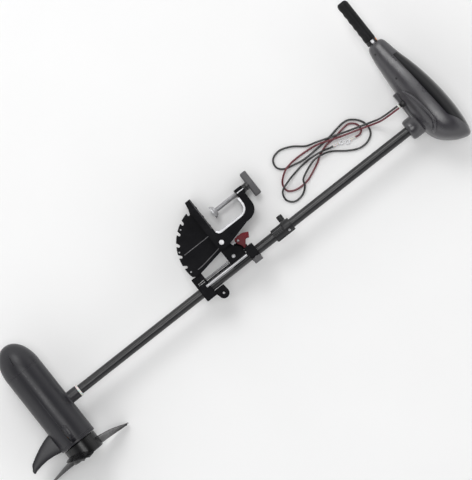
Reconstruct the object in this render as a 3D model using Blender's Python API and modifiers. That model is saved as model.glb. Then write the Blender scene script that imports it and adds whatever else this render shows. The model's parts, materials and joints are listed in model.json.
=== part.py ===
"""Transom-mount electric trolling motor, lying on its side in its stowed pose.

Places are given as (s, t, h): s runs along the shaft from the motor's axis to the control head,
t runs across the shaft toward the tiller, and h is the height above the shaft's axis.
"""
import math

import bmesh
import bpy
from mathutils import Euler, Matrix, Vector

# Frame: the object's box is centred on s and t, and h = -AXIS_HEIGHT is the surface it lies on
MID_S = 0.5606
MID_T = 0.1059
AXIS_HEIGHT = 0.0760
GAP = 0.0003

# Lower unit: the motor's axis lies along t at s = 0
MOTOR_RADIUS = 0.0500
MOTOR_WALL = 0.0035
MOTOR_FRONT = 0.1250
MOTOR_REAR = -0.0920
CAP_REAR = -0.0990
NOSE_TIP = 0.2010
COLLAR_RADIUS = 0.0160
COLLAR_TOP = 0.0772
ROTOR_SHAFT_RADIUS = 0.0050
ARMATURE_RADIUS = 0.0290
FIN_TOP = -0.0503

# Propeller
HUB_RADIUS = 0.0455
HUB_FRONT = -0.1005
HUB_REAR = -0.1425
PROP_TURN = math.radians(2.7)
BLADES = 3
# Blade outline: (radius, leading and trailing edge in degrees, their places along the motor's axis)
BLADE_STATIONS = (
    (0.0437, -58.0, 20.0, -0.1175, -0.1390),
    (0.0520, -58.0, 19.0, -0.1180, -0.1391),
    (0.0620, -56.0, 17.0, -0.1195, -0.1393),
    (0.0720, -50.0, 15.0, -0.1215, -0.1396),
    (0.0800, -40.0, 13.5, -0.1240, -0.1399),
    (0.0900, -29.0, 11.5, -0.1275, -0.1404),
    (0.1000, -21.0, 9.5, -0.1310, -0.1411),
    (0.1110, -15.0, 7.0, -0.1345, -0.1420),
    (0.1230, -10.2, 4.0, -0.1383, -0.1431),
    (0.1330, -7.3, 1.5, -0.1415, -0.1439),
    (0.1380, -5.8, 0.2, -0.1430, -0.1442),
)

# Shaft and depth collar
SHAFT_RADIUS = 0.0125
SHAFT_WALL = 0.0016
SHAFT_BOTTOM = 0.0530
SHAFT_TOP = 1.1650
SHAFT_BORE = SHAFT_RADIUS + GAP
DEPTH_COLLAR_S = (0.7000, 0.7550)
DEPTH_KNOB_S = 0.7405

# Swivel bracket
SWIVEL_HALF = 0.0270
BUSH_RADIUS = 0.0152
LOWER_BLOCK_S = (0.4700, 0.5000)
HINGE_BLOCK_S = (0.5730, 0.6200)
FRICTION_S = (0.6220, 0.6470)
PINCH_HEIGHT = 0.0285
TIE_ROD_T = 0.00675
TIE_ROD_H = 0.0245
TIE_ROD_RADIUS = 0.00425
EAR_CENTRE = (0.5150, -0.0325)
EAR_RADIUS = 0.0140

# Tilt hinge, quadrant and lock
PIVOT = (0.58875, 0.0700)
PIVOT_RADIUS = 0.0050
QUADRANT_RADIUS = 0.1135
QUADRANT_H = (0.0300, 0.0360)
NOTCH_RADIUS = 0.1080
NOTCH_STEP = math.radians(15.0)
NOTCH_FIRST = math.radians(102.0)
NOTCH_COUNT = 6
NOTCH_SLANT = math.radians(27.0)
LOCK_T = 0.0210
LOCK_BAR_S = 0.4805
LOCK_BAR_RADIUS = 0.0030
LEVER_PIVOT = (0.6230, 0.0480)

# Transom bracket
ARM_H = (0.0480, 0.0760)
THROAT_S = (0.5920, 0.6920)
SCREW_T = 0.1420
SCREW_RADIUS = 0.0055
SCREW_H = 0.0592
PLATE_END_T = 0.2030

# Control head: (t, lowest s, highest s, half width), front to rear
HEAD_STATIONS = (
    (0.2250, 1.1830, 1.2120, 0.0200),
    (0.2225, 1.1780, 1.2165, 0.0250),
    (0.2150, 1.1722, 1.2208, 0.0300),
    (0.1950, 1.1682, 1.2250, 0.0360),
    (0.1700, 1.1655, 1.2302, 0.0430),
    (0.1400, 1.1632, 1.2385, 0.0510),
    (0.1050, 1.1610, 1.2465, 0.0600),
    (0.0650, 1.1590, 1.2530, 0.0680),
    (0.0250, 1.1578, 1.2570, 0.0740),
    (-0.0150, 1.1580, 1.2587, 0.0760),
    (-0.0450, 1.1640, 1.2578, 0.0740),
    (-0.0650, 1.1755, 1.2560, 0.0680),
    (-0.0800, 1.1910, 1.2535, 0.0590),
    (-0.0920, 1.2090, 1.2505, 0.0460),
    (-0.0990, 1.2250, 1.2470, 0.0310),
    (-0.1020, 1.2350, 1.2430, 0.0150),
)
HEAD_WALL = 0.0030
HEAD_SEAM = ((0.1740, 1.2125), (-0.0250, 1.2250), (-0.0500, 1.2400), (-0.0780, 1.2492))
BOSS_RADIUS = 0.0280
GRIP_S = 1.1930
GRIP_RADIUS = 0.0150
GRIP_END = 0.35625
GLAND = (1.1480, 0.0625, 0.0200)

# Battery lead: routes as (s, t, height above the surface), from the gland to the ring terminal
WIRE_RADIUS = 0.0025
WIRE_STEP = 0.0150
FLOOR = 0.0034
OVER = 0.0096
BLACK_ROUTE = (
    (1.1476, 0.0654, 0.0960), (1.1300, 0.0660, 0.0945), (1.1060, 0.0668, 0.0760), (1.0900, 0.0690, 0.0440),
    (1.0760, 0.0735, 0.0180), (1.0560, 0.0800, OVER), (0.9900, 0.1010, OVER), (0.9350, 0.1200, OVER),
    (0.9050, 0.1300, FLOOR), (0.8760, 0.1510, FLOOR), (0.8450, 0.1620, FLOOR), (0.8200, 0.1550, FLOOR),
    (0.8130, 0.1350, FLOOR), (0.8250, 0.1190, FLOOR), (0.8530, 0.1110, FLOOR), (0.8850, 0.1060, FLOOR),
    (0.9520, 0.1090, FLOOR), (1.0150, 0.1180, FLOOR), (1.0420, 0.1070, FLOOR), (1.0580, 0.0830, FLOOR),
    (1.0550, 0.0560, FLOOR), (1.0340, 0.0420, FLOOR), (1.0080, 0.0420, FLOOR), (0.9800, 0.0560, FLOOR),
    (0.9500, 0.0780, FLOOR), (0.9250, 0.0870, OVER), (0.8950, 0.0880, OVER), (0.8510, 0.0700, OVER),
    (0.8410, 0.0520, OVER), (0.8220, 0.0380, FLOOR), (0.7970, 0.0370, FLOOR), (0.7820, 0.0540, FLOOR),
    (0.7890, 0.0760, OVER), (0.8150, 0.0870, OVER), (0.8450, 0.0940, FLOOR), (0.8740, 0.0980, FLOOR),
    (0.9020, 0.0975, OVER), (0.9300, 0.0940, OVER), (0.9480, 0.0890, FLOOR), (0.9590, 0.0865, FLOOR),
)
RED_ROUTE = (
    (1.1476, 0.0596, 0.0960), (1.1300, 0.0598, 0.0945), (1.1060, 0.0606, 0.0760), (1.0890, 0.0625, 0.0440),
    (1.0740, 0.0672, 0.0180), (1.0540, 0.0740, OVER), (1.0230, 0.0835, OVER), (0.9880, 0.0945, OVER),
    (0.9580, 0.1050, OVER), (0.9330, 0.1140, OVER), (0.9020, 0.1185, FLOOR), (0.8720, 0.1200, FLOOR),
    (0.8460, 0.1185, OVER), (0.8240, 0.1120, OVER), (0.8010, 0.0930, FLOOR), (0.7990, 0.0700, FLOOR),
    (0.8200, 0.0580, FLOOR), (0.8520, 0.0580, FLOOR), (0.8800, 0.0680, FLOOR), (0.9030, 0.0790, FLOOR),
    (0.9220, 0.0910, FLOOR), (0.9450, 0.0990, FLOOR), (0.9720, 0.1010, FLOOR), (1.0000, 0.1060, FLOOR),
    (1.0240, 0.1070, FLOOR), (1.0400, 0.0940, FLOOR), (1.0410, 0.0770, FLOOR), (1.0310, 0.0690, FLOOR),
    (1.0180, 0.0700, FLOOR),
)
SLEEVE = 0.0150
EYE = 0.0235
EYE_RADIUS = 0.0065

LOOKS = {
    "black_casting": ((0.018, 0.018, 0.020), 0.45, 0.0),
    "motor_paint": ((0.030, 0.029, 0.034), 0.35, 0.2),
    "nose_plastic": ((0.022, 0.022, 0.024), 0.40, 0.0),
    "shaft_black": ((0.020, 0.020, 0.023), 0.32, 0.3),
    "head_plastic": ((0.060, 0.055, 0.063), 0.50, 0.0),
    "gloss_black": ((0.006, 0.006, 0.007), 0.12, 0.0),
    "prop_plastic": ((0.020, 0.020, 0.020), 0.30, 0.0),
    "bright_steel": ((0.720, 0.720, 0.730), 0.22, 1.0),
    "grey_plastic": ((0.200, 0.200, 0.205), 0.45, 0.0),
    "red_plastic": ((0.330, 0.015, 0.022), 0.38, 0.0),
    "black_plastic": ((0.015, 0.015, 0.016), 0.40, 0.0),
    "grip_rubber": ((0.024, 0.024, 0.025), 0.60, 0.0),
    "nylon": ((0.700, 0.690, 0.660), 0.50, 0.0),
    "iron": ((0.250, 0.245, 0.240), 0.45, 0.9),
    "copper": ((0.720, 0.300, 0.130), 0.30, 1.0),
    "carbon": ((0.050, 0.050, 0.050), 0.60, 0.2),
    "magnet": ((0.120, 0.115, 0.115), 0.60, 0.3),
    "seal_rubber": ((0.020, 0.020, 0.020), 0.70, 0.0),
    "red_wire": ((0.280, 0.010, 0.030), 0.40, 0.0),
    "black_wire": ((0.015, 0.015, 0.016), 0.40, 0.0),
}

TURN = {"along": (0.0, math.pi / 2, 0.0), "across": (-math.pi / 2, 0.0, 0.0), "up": (0.0, 0.0, 0.0)}


def place(s, t, h=0.0):
    """World position of a point given along, across and above the shaft's axis."""
    return Vector((s - MID_S, t - MID_T, h + AXIS_HEIGHT))


def clear_scene():
    for obj in list(bpy.data.objects):
        bpy.data.objects.remove(obj, do_unlink=True)


def make_collection(name):
    collection = bpy.data.collections.new(name)
    bpy.context.scene.collection.children.link(collection)
    return collection


def make_material(name):
    colour, roughness, metallic = LOOKS[name]
    material = bpy.data.materials.new(name)
    material.use_nodes = True
    shader = material.node_tree.nodes["Principled BSDF"]
    shader.inputs["Base Color"].default_value = (*colour, 1.0)
    shader.inputs["Roughness"].default_value = roughness
    shader.inputs["Metallic"].default_value = metallic
    material.diffuse_color = (*colour, 1.0)
    return material


def add_object(name, data, look):
    obj = bpy.data.objects.new(name, data)
    PARTS.objects.link(obj)
    data.materials.append(MATERIALS[look])
    return obj


def mesh_object(name, look, bm):
    mesh = bpy.data.meshes.new(name)
    bm.to_mesh(mesh)
    bm.free()
    return add_object(name, mesh, look)


def add_bevel(obj, width, segments=2):
    bevel = obj.modifiers.new("Edge", "BEVEL")
    bevel.width = width
    bevel.segments = segments
    bevel.limit_method = "ANGLE"
    bevel.angle_limit = math.radians(40.0)


def combine(target, operation, *tools):
    """Adds one exact Boolean for each tool, which becomes a hidden cutter."""
    for tool in tools:
        step = target.modifiers.new(operation.title(), "BOOLEAN")
        step.operation = operation
        step.solver = "EXACT"
        step.object = tool
        tool.hide_render = True
        tool.display_type = "WIRE"
        PARTS.objects.unlink(tool)
        CUTTERS.objects.link(tool)
    return target


def cut(target, *tools):
    return combine(target, "DIFFERENCE", *tools)


def join(target, *tools):
    return combine(target, "UNION", *tools)


def turned(name, look, profile, axis, centre, segments=24):
    """Turns a profile of (radius, distance along the axis), run down its outer side."""
    closed = profile[0][0] > 0.0
    edges = [(i, i + 1) for i in range(len(profile) - 1)]
    if closed:
        edges.append((len(profile) - 1, 0))
    mesh = bpy.data.meshes.new(name)
    mesh.from_pydata([(radius, 0.0, z) for radius, z in profile], edges, [])
    obj = add_object(name, mesh, look)
    screw = obj.modifiers.new("Turn", "SCREW")
    screw.axis = "Z"
    screw.angle = 2.0 * math.pi
    screw.steps = segments
    screw.render_steps = segments
    screw.use_merge_vertices = True
    screw.merge_threshold = 0.00002
    screw.use_smooth_shade = False
    obj.rotation_euler = TURN[axis]
    obj.location = place(*centre)
    return obj


def ring(name, look, outer, inner, low, high, axis, centre, segments=24):
    profile = ((outer, high), (outer, low), (inner, low), (inner, high))
    return turned(name, look, profile, axis, centre, segments)


def disc(name, look, radius, low, high, axis, centre, segments=20):
    """A solid cylinder from low to high along its axis."""
    bm = bmesh.new()
    bmesh.ops.create_cone(bm, cap_ends=True, segments=segments, radius1=radius, radius2=radius,
                          depth=high - low)
    bmesh.ops.translate(bm, vec=(0.0, 0.0, 0.5 * (low + high)), verts=bm.verts)
    obj = mesh_object(name, look, bm)
    obj.rotation_euler = TURN[axis]
    obj.location = place(*centre)
    return obj


def block(name, look, s_range, t_range, h_range, bevel=0.0):
    size = Vector(b - a for a, b in (s_range, t_range, h_range))
    middle = [0.5 * (a + b) for a, b in (s_range, t_range, h_range)]
    bm = bmesh.new()
    bmesh.ops.create_cube(bm, size=1.0)
    bmesh.ops.scale(bm, vec=size, verts=bm.verts)
    obj = mesh_object(name, look, bm)
    obj.location = place(*middle)
    if bevel:
        add_bevel(obj, bevel)
    return obj


def arc(centre, radius, start, end, count):
    """Points on an arc in the (s, t) plane, angles in degrees from +s toward +t."""
    points = []
    for i in range(count + 1):
        angle = math.radians(start + (end - start) * i / count)
        points.append((centre[0] + radius * math.cos(angle), centre[1] + radius * math.sin(angle)))
    return points


def as_mesh(obj, merge=0.00001):
    """Replaces a curve by the closed mesh of its evaluated shape."""
    bpy.context.view_layer.update()
    depsgraph = bpy.context.evaluated_depsgraph_get()
    mesh = bpy.data.meshes.new_from_object(obj.evaluated_get(depsgraph))
    name = obj.name
    matrix = obj.matrix_world.copy()
    curve = obj.data
    bpy.data.objects.remove(obj, do_unlink=True)
    bpy.data.curves.remove(curve)
    bm = bmesh.new()
    bm.from_mesh(mesh)
    bmesh.ops.remove_doubles(bm, verts=bm.verts, dist=merge)
    bmesh.ops.recalc_face_normals(bm, faces=bm.faces)
    bm.to_mesh(mesh)
    bm.free()
    mesh.name = name
    solid = bpy.data.objects.new(name, mesh)
    PARTS.objects.link(solid)
    solid.matrix_world = matrix
    return solid


def flat(name, look, outline, h_range, holes=()):
    """A flat plate: an outline of (s, t) points, filled and given its thickness along h."""
    curve = bpy.data.curves.new(name, "CURVE")
    curve.dimensions = "2D"
    curve.fill_mode = "BOTH"
    curve.extrude = 0.5 * (h_range[1] - h_range[0])
    for loop in (outline, *holes):
        spline = curve.splines.new("POLY")
        spline.points.add(len(loop) - 1)
        for point, (s, t) in zip(spline.points, loop):
            point.co = (s - MID_S, t - MID_T, 0.0, 1.0)
        spline.use_cyclic_u = True
    obj = add_object(name, curve, look)
    obj.location = (0.0, 0.0, 0.5 * (h_range[0] + h_range[1]) + AXIS_HEIGHT)
    return as_mesh(obj)


def tube(name, look, points, radius, resolution=2):
    """A round wire along (s, t, h) points."""
    curve = bpy.data.curves.new(name, "CURVE")
    curve.dimensions = "3D"
    curve.bevel_depth = radius
    curve.bevel_resolution = resolution
    curve.use_fill_caps = True
    spline = curve.splines.new("POLY")
    spline.points.add(len(points) - 1)
    for point, where in zip(spline.points, points):
        point.co = (*place(*where), 1.0)
    return add_object(name, curve, look)


def loft(name, look, rings):
    """A closed solid through rings of equal point count, capped at both ends."""
    bm = bmesh.new()
    loops = [[bm.verts.new(place(*point)) for point in points] for points in rings]
    count = len(loops[0])
    for first, second in zip(loops, loops[1:]):
        for i in range(count):
            bm.faces.new((first[i], first[(i + 1) % count], second[(i + 1) % count], second[i]))
    bm.faces.new(loops[0])
    bm.faces.new(loops[-1])
    bmesh.ops.triangulate(bm, faces=[face for face in bm.faces if len(face.verts) > 4])
    bmesh.ops.recalc_face_normals(bm, faces=bm.faces)
    return mesh_object(name, look, bm)


def hang_on(name, where, *members):
    """Parents the members of a moving body to an empty on the body's joint axis."""
    pivot = bpy.data.objects.new(name, None)
    pivot.location = place(*where)
    PARTS.objects.link(pivot)
    bpy.context.view_layer.update()
    for member in members:
        member.parent = pivot
        member.matrix_parent_inverse = pivot.matrix_world.inverted()
    return pivot


# ---------------------------------------------------------------- lower unit

def motor_shell():
    housing = ring("motor_housing", "motor_paint", MOTOR_RADIUS, MOTOR_RADIUS - MOTOR_WALL,
                   MOTOR_REAR, MOTOR_FRONT, "across", (0, 0, 0), 32)
    collar = turned("collar_form", "motor_paint",
                    ((0.0, COLLAR_TOP), (COLLAR_RADIUS, COLLAR_TOP), (COLLAR_RADIUS + 0.001, 0.0520),
                     (COLLAR_RADIUS + 0.004, 0.0475), (0.0, 0.0475)), "along", (0, 0, 0))
    bore = disc("collar_bore", "motor_paint", SHAFT_BORE, 0.0300, 0.0900, "along", (0, 0, 0), 24)
    join(housing, collar)
    cut(housing, bore)
    ring("collar_ring", "bright_steel", COLLAR_RADIUS + 0.0006, SHAFT_BORE, COLLAR_TOP + GAP, 0.0830,
         "along", (0, 0, 0))
    return housing


def nose_profile(radius, length, base, steps):
    """Quarter ellipse from the tip to the base."""
    points = []
    for i in range(steps + 1):
        angle = math.pi / 2 * i / steps
        points.append((radius * math.sin(angle), base + length * math.cos(angle)))
    points[0] = (0.0, base + length)
    return points


def nose_cone():
    base = MOTOR_FRONT + GAP
    outer = nose_profile(MOTOR_RADIUS, NOSE_TIP - base - 0.004, base + 0.004, 7)
    inner = nose_profile(0.0420, NOSE_TIP - base - 0.013, base + 0.004, 3)
    lip = ((MOTOR_RADIUS, base), (0.0462, base), (0.0462, 0.1218), (0.0440, 0.1218),
           (0.0440, 0.1188), (0.0462, 0.1188), (0.0462, 0.1150), (0.0420, 0.1150))
    turned("nose_cone", "nose_plastic", (*outer, *lip, *reversed(inner)), "across", (0, 0, 0), 32)
    ring("nose_o_ring", "seal_rubber", 0.0462, 0.0443, 0.1191, 0.1215, "across", (0, 0, 0), 32)


def rear_end_cap():
    profile = ((0.0462, -0.0800), (0.0462, -0.0923), (MOTOR_RADIUS, -0.0923), (MOTOR_RADIUS, CAP_REAR),
               (0.0113, CAP_REAR), (0.0113, -0.0945), (0.0063, -0.0945), (0.0063, -0.0935),
               (0.0133, -0.0935), (0.0133, -0.0800))
    turned("rear_end_cap", "motor_paint", profile, "across", (0, 0, 0), 32)


def rotor():
    shaft = disc("motor_shaft", "bright_steel", ROTOR_SHAFT_RADIUS, -0.1405, 0.0780, "across", (0, 0, 0))
    pin_hole = disc("pin_hole", "bright_steel", 0.0018, -0.0100, 0.0100, "along", (0, -0.1148, 0), 16)
    cut(shaft, pin_hole)
    pin = disc("drive_pin", "bright_steel", 0.0015, -0.0110, 0.0110, "along", (0, -0.1148, 0), 16)
    core = armature_core()
    winding = armature_winding()
    commutator = ring("commutator", "copper", 0.0120, 0.0053, 0.0480, 0.0640, "across", (0, 0, 0), 24)
    return [shaft, pin, core, winding, commutator]


def armature_core():
    """Ten-pole laminated core: a ring whose slots hold the winding's bars."""
    core = ring("armature_core", "iron", ARMATURE_RADIUS, ROTOR_SHAFT_RADIUS + GAP, -0.0640, 0.0200,
                "across", (0, 0, 0), 40)
    for i in range(10):
        slot = block("core_slot", "iron", (-0.0025, 0.0025), (-0.0700, 0.0300), (0.0180, 0.0320))
        turn_about_motor_axis(slot, i * math.tau / 10)
        cut(core, slot)
    return core


def armature_winding():
    """Copper end turns at both ends of the core, joined by a bar in each slot."""
    winding = end_turns("armature_winding", 0.0203, 0.0400)
    join(winding, end_turns("rear_turns", -0.0790, -0.0643))
    for i in range(10):
        bar = block("slot_bar", "copper", (-0.0019, 0.0019), (-0.0690, 0.0250), (0.0184, 0.0270))
        turn_about_motor_axis(bar, i * math.tau / 10)
        join(winding, bar)
    return winding


def end_turns(name, low, high):
    profile = ((0.0240, high), (0.0275, high - 0.0040), (0.0275, low + 0.0040), (0.0260, low),
               (0.0130, low), (0.0130, high))
    return turned(name, "copper", profile, "across", (0, 0, 0), 24)


def turn_about_motor_axis(obj, angle):
    centre = place(0, 0, 0)
    spin = Matrix.Translation(centre) @ Matrix.Rotation(angle, 4, "Y") @ Matrix.Translation(-centre)
    obj.matrix_world = spin @ Matrix.Translation(obj.location)


def magnets():
    for name, turn in (("magnet_upper", 0.0), ("magnet_lower", math.pi)):
        magnet = ring(name, "magnet", 0.0462, 0.0335, -0.0700, 0.0300, "across", (0, 0, 0), 32)
        keep = block("magnet_limit", "magnet", (-0.0390, 0.0390), (-0.0800, 0.0800), (0.0150, 0.0600))
        turn_about_motor_axis(keep, turn)
        combine(magnet, "INTERSECT", keep)


def bearings_and_brushes():
    ring("rear_bearing", "bright_steel", 0.0130, 0.0053, -0.0932, -0.0852, "across", (0, 0, 0), 24)
    ring("shaft_seal", "seal_rubber", 0.0110, 0.0053, -0.0987, -0.0948, "across", (0, 0, 0), 24)
    plate = ring("brush_plate", "nylon", 0.0440, 0.0113, 0.0685, 0.0735, "across", (0, 0, 0), 24)
    ring("front_bearing", "bright_steel", 0.0110, 0.0053, 0.0670, 0.0750, "across", (0, 0, 0), 24)
    for name, side in (("brush_left", -1), ("brush_right", 1)):
        holder = block("holder", "nylon", sorted((side * 0.0180, side * 0.0360)), (0.0500, 0.0690),
                       (-0.0060, 0.0060))
        join(plate, holder)
    for name, side in (("brush_left", -1), ("brush_right", 1)):
        pocket = block("pocket", "nylon", sorted((side * 0.0140, side * 0.0400)), (0.0526, 0.0624),
                       (-0.0037, 0.0037))
        cut(plate, pocket)
        block(name, "carbon", sorted((side * 0.0124, side * 0.0300)), (0.0530, 0.0620),
              (-0.0033, 0.0033))
    for i, side in enumerate((-1, 1), 1):
        disc("through_bolt_%d" % i, "bright_steel", 0.0020, -0.0780, 0.0800, "across",
             (side * 0.0412, 0, 0.0), 12)
        hole = disc("bolt_hole", "nylon", 0.0023, 0.0600, 0.0800, "across", (side * 0.0412, 0, 0), 12)
        cut(plate, hole)


def skeg_fin():
    leading = ((FIN_TOP, -0.0400), (-0.0700, -0.0455), (-0.0900, -0.0535), (-0.1100, -0.0635),
               (-0.1250, -0.0715), (-0.1330, -0.0780), (-0.1372, -0.0870), (-0.1375, -0.0935),
               (-0.1350, -0.0975))
    trailing = ((-0.1150, -0.0930), (-0.0850, -0.0905), (FIN_TOP, -0.0950))
    fin = flat("skeg_fin", "motor_paint", leading + trailing, (-0.0030, 0.0030))
    add_bevel(fin, 0.0018)


# ---------------------------------------------------------------- propeller

def blade_section(station, facing):
    """One ring of a blade: the front face from leading to trailing edge, then the back face."""
    radius, lead, trail, lead_t, trail_t = station
    lead = math.radians(lead)
    trail = math.radians(trail)
    half = 0.0018 - 0.0009 * (radius - HUB_RADIUS) / 0.0930
    rows = ((0.0, 0.3), (0.12, 0.8), (0.4, 1.0), (0.75, 0.8), (1.0, 0.3))
    front = []
    back = []
    for share, fullness in rows:
        angle = facing + lead + (trail - lead) * share
        camber = 0.0035 * math.sin(math.pi * share)
        middle = lead_t + (trail_t - lead_t) * share + camber
        for side, line in ((1, front), (-1, back)):
            line.append((radius * math.sin(angle), middle + side * half * fullness,
                         radius * math.cos(angle)))
    return front + back[::-1]


def propeller():
    profile = ((HUB_RADIUS, HUB_FRONT), (HUB_RADIUS, HUB_REAR + 0.0030), (HUB_RADIUS - 0.0030, HUB_REAR),
               (0.0170, HUB_REAR), (0.0170, -0.1303), (0.0054, -0.1303), (0.0054, -0.1130),
               (0.0120, -0.1130), (0.0120, -0.1270), (0.0415, -0.1270), (0.0415, HUB_FRONT))
    prop = turned("propeller", "prop_plastic", profile, "across", (0, 0, 0), 36)
    for i in range(BLADES):
        facing = PROP_TURN + i * math.tau / BLADES
        join(prop, loft("blade_form", "prop_plastic",
                        [blade_section(station, facing) for station in BLADE_STATIONS]))
    slot = block("pin_slot", "prop_plastic", (-0.0130, 0.0130), (-0.1168, -0.1100), (-0.0020, 0.0020))
    cut(prop, slot)
    nut = disc("prop_nut", "bright_steel", 0.0100, -0.1395, -0.1306, "across", (0, 0, 0), 6)
    bore = disc("nut_bore", "bright_steel", 0.0053, -0.1500, -0.1200, "across", (0, 0, 0), 24)
    cut(nut, bore)
    return [prop, nut]


# ---------------------------------------------------------------- shaft and depth collar

def shaft_tube():
    ring("shaft_tube", "shaft_black", SHAFT_RADIUS, SHAFT_RADIUS - SHAFT_WALL, SHAFT_BOTTOM, SHAFT_TOP,
         "along", (0, 0, 0), 24)
    points = ((0.0560, 0.0040, 0.0), (0.1500, 0.0, 0.0), (0.6000, 0.0030, -0.0020), (1.0500, 0.0, 0.0),
              (1.1750, 0.0020, 0.0), (1.1880, 0.0120, 0.0))
    tube("inner_cable", "black_wire", points, 0.0035)


def depth_collar():
    low, high = DEPTH_COLLAR_S
    step = 0.7320
    profile = ((0.0178, high), (0.0178, step), (0.0168, step - 0.001), (0.0168, low),
               (SHAFT_BORE, low), (SHAFT_BORE, high))
    collar = turned("depth_collar", "black_plastic", profile, "along", (0, 0, 0))
    boss = block("knob_boss", "black_plastic", (0.7325, 0.7490), (0.0130, 0.0185), (-0.0090, 0.0090))
    cheek = block("collar_cheek", "black_plastic", (0.7020, 0.7530), (-0.0180, -0.0140),
                  (-0.0080, 0.0080))
    bore = disc("boss_bore", "black_plastic", SHAFT_BORE, 0.69, 0.77, "along", (0, 0, 0), 24)
    thread = disc("knob_thread", "black_plastic", 0.0034, 0.0, 0.0300, "across", (DEPTH_KNOB_S, 0, 0), 16)
    join(collar, boss, cheek)
    cut(collar, bore, thread)
    profile = ((0.0, 0.0350), (0.0070, 0.0350), (0.0080, 0.0335), (0.0080, 0.0200), (0.0070, 0.0188),
               (0.0030, 0.0188), (0.0030, 0.0130), (0.0, 0.0130))
    knob = turned("depth_knob", "black_plastic", profile, "across", (DEPTH_KNOB_S, 0, 0), 24)
    return collar, knob


# ---------------------------------------------------------------- swivel bracket

def lower_block():
    body = block("swivel_block", "black_casting", LOWER_BLOCK_S, (-0.0250, 0.0425),
                 (-SWIVEL_HALF, SWIVEL_HALF), 0.0020)
    lobe = arc(EAR_CENTRE, EAR_RADIUS, 0.0, -180.0, 10)
    outline = [(0.4800, -0.0140), (0.5270, -0.0140), *lobe, (0.4980, -0.0240), (0.4800, -0.0240)]
    hole = arc(EAR_CENTRE, 0.0030, 0.0, 330.0, 11)
    ear = flat("swivel_ear", "black_casting", outline, (-0.0070, 0.0070), [hole])
    bore = disc("bush_bore", "black_casting", BUSH_RADIUS + GAP, 0.46, 0.51, "along", (0, 0, 0), 24)
    slot = block("bar_slot", "black_casting", (0.4768, 0.4960), (0.0177, 0.0243), (-0.04, 0.04))
    rod_hole = disc("rod_hole", "black_casting", 0.0022, 0.48, 0.52, "along", (0, LOCK_T, 0), 16)
    join(body, ear)
    cut(body, bore, slot, rod_hole)
    for side in (-1, 1):
        socket = disc("tie_socket", "black_casting", TIE_ROD_RADIUS + GAP, 0.4900, 0.5100, "along",
                      (0, TIE_ROD_T, side * TIE_ROD_H), 16)
        cut(body, socket)
    return body


def hinge_block():
    low, high = HINGE_BLOCK_S
    lobe = arc(PIVOT, 0.0155, 0.0, 180.0, 12)
    outline = [(low, 0.0), (high, 0.0), (high, 0.0310), (0.6120, 0.0400), (0.6060, 0.0450),
               (0.6045, 0.0520), *lobe, (low, 0.0600)]
    body = flat("hinge_block", "black_casting", outline, (-SWIVEL_HALF, SWIVEL_HALF))
    saddle = disc("shaft_saddle", "black_casting", SHAFT_BORE, 0.56, 0.63, "along", (0, 0, 0), 24)
    hinge = disc("hinge_bore", "black_casting", PIVOT_RADIUS + GAP, -0.05, 0.05, "up", (*PIVOT, 0), 24)
    rod_hole = disc("rod_hole", "black_casting", 0.0022, 0.56, 0.63, "along", (0, LOCK_T, 0), 16)
    post_hole = disc("post_hole", "black_casting", 0.0038, 0.6005, 0.63, "along",
                     (0, LEVER_PIVOT[1], 0), 16)
    seat_pocket = disc("seat_pocket", "black_casting", 0.0046, 0.56, 0.5835, "along", (0, LOCK_T, 0), 16)
    cut(body, saddle, hinge, rod_hole, post_hole, seat_pocket)
    for side in (-1, 1):
        groove = disc("tie_groove", "black_casting", TIE_ROD_RADIUS + GAP, 0.56, 0.63, "along",
                      (0, TIE_ROD_T, side * TIE_ROD_H), 16)
        cut(body, groove)
    return body


def tie_rods():
    rods = []
    for name, side in (("tie_rod_near", 1), ("tie_rod_far", -1)):
        rods.append(disc(name, "bright_steel", TIE_ROD_RADIUS, 0.4905, 0.6195, "along",
                         (0, TIE_ROD_T, side * TIE_ROD_H), 16))
    return rods


def bushes():
    lower = ring("lower_bush", "nylon", BUSH_RADIUS, SHAFT_BORE, LOWER_BLOCK_S[0] + 0.0005,
                 LOWER_BLOCK_S[1] - 0.0005, "along", (0, 0, 0))
    upper = ring("upper_bush", "nylon", BUSH_RADIUS, SHAFT_BORE, FRICTION_S[0] + 0.0005,
                 FRICTION_S[1] - 0.0005, "along", (0, 0, 0))
    return [lower, upper]


def friction_collar():
    """Split collar above the hinge block, whose pinch knob sets the steering friction."""
    low, high = FRICTION_S
    collar = disc("friction_collar", "black_casting", 0.0170, low, high, "along", (0, 0, 0), 24)
    ear = block("pinch_ear", "black_casting", (low + 0.0004, high - 0.0004), (-0.0090, 0.0240),
                (0.0105, 0.0370), 0.0015)
    bore = disc("collar_bore", "black_casting", BUSH_RADIUS + GAP, 0.60, 0.66, "along", (0, 0, 0), 24)
    stem_hole = disc("stem_hole", "black_casting", 0.0033, -0.03, 0.0190, "across",
                     (0.6345, 0, PINCH_HEIGHT), 16)
    join(collar, ear)
    cut(collar, bore, stem_hole)
    profile = ((0.0, 0.0180), (0.0030, 0.0180), (0.0030, -0.0103), (0.0120, -0.0103), (0.0120, -0.0235),
               (0.0105, -0.0250), (0.0, -0.0250))
    knob = turned("friction_knob", "grey_plastic", profile, "across", (0.6345, 0, PINCH_HEIGHT), 24)
    return collar, knob


def lock_rod():
    """Rod with the cross bar that drops in the quadrant's notches and the head that the lever lifts."""
    profile = ((0.0, 0.6350), (0.0033, 0.6350), (0.0033, 0.6320), (0.0018, 0.6320), (0.0018, 0.5700),
               (0.0042, 0.5700), (0.0042, 0.5680), (0.0018, 0.5680), (0.0018, LOCK_BAR_S), (0.0, LOCK_BAR_S))
    rod = turned("lock_rod", "bright_steel", profile, "along", (0, LOCK_T, 0), 16)
    bar = disc("cross_bar", "bright_steel", LOCK_BAR_RADIUS, -0.0380, 0.0380, "up",
               (LOCK_BAR_S, LOCK_T, 0), 20)
    join(rod, bar)
    return rod


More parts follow.
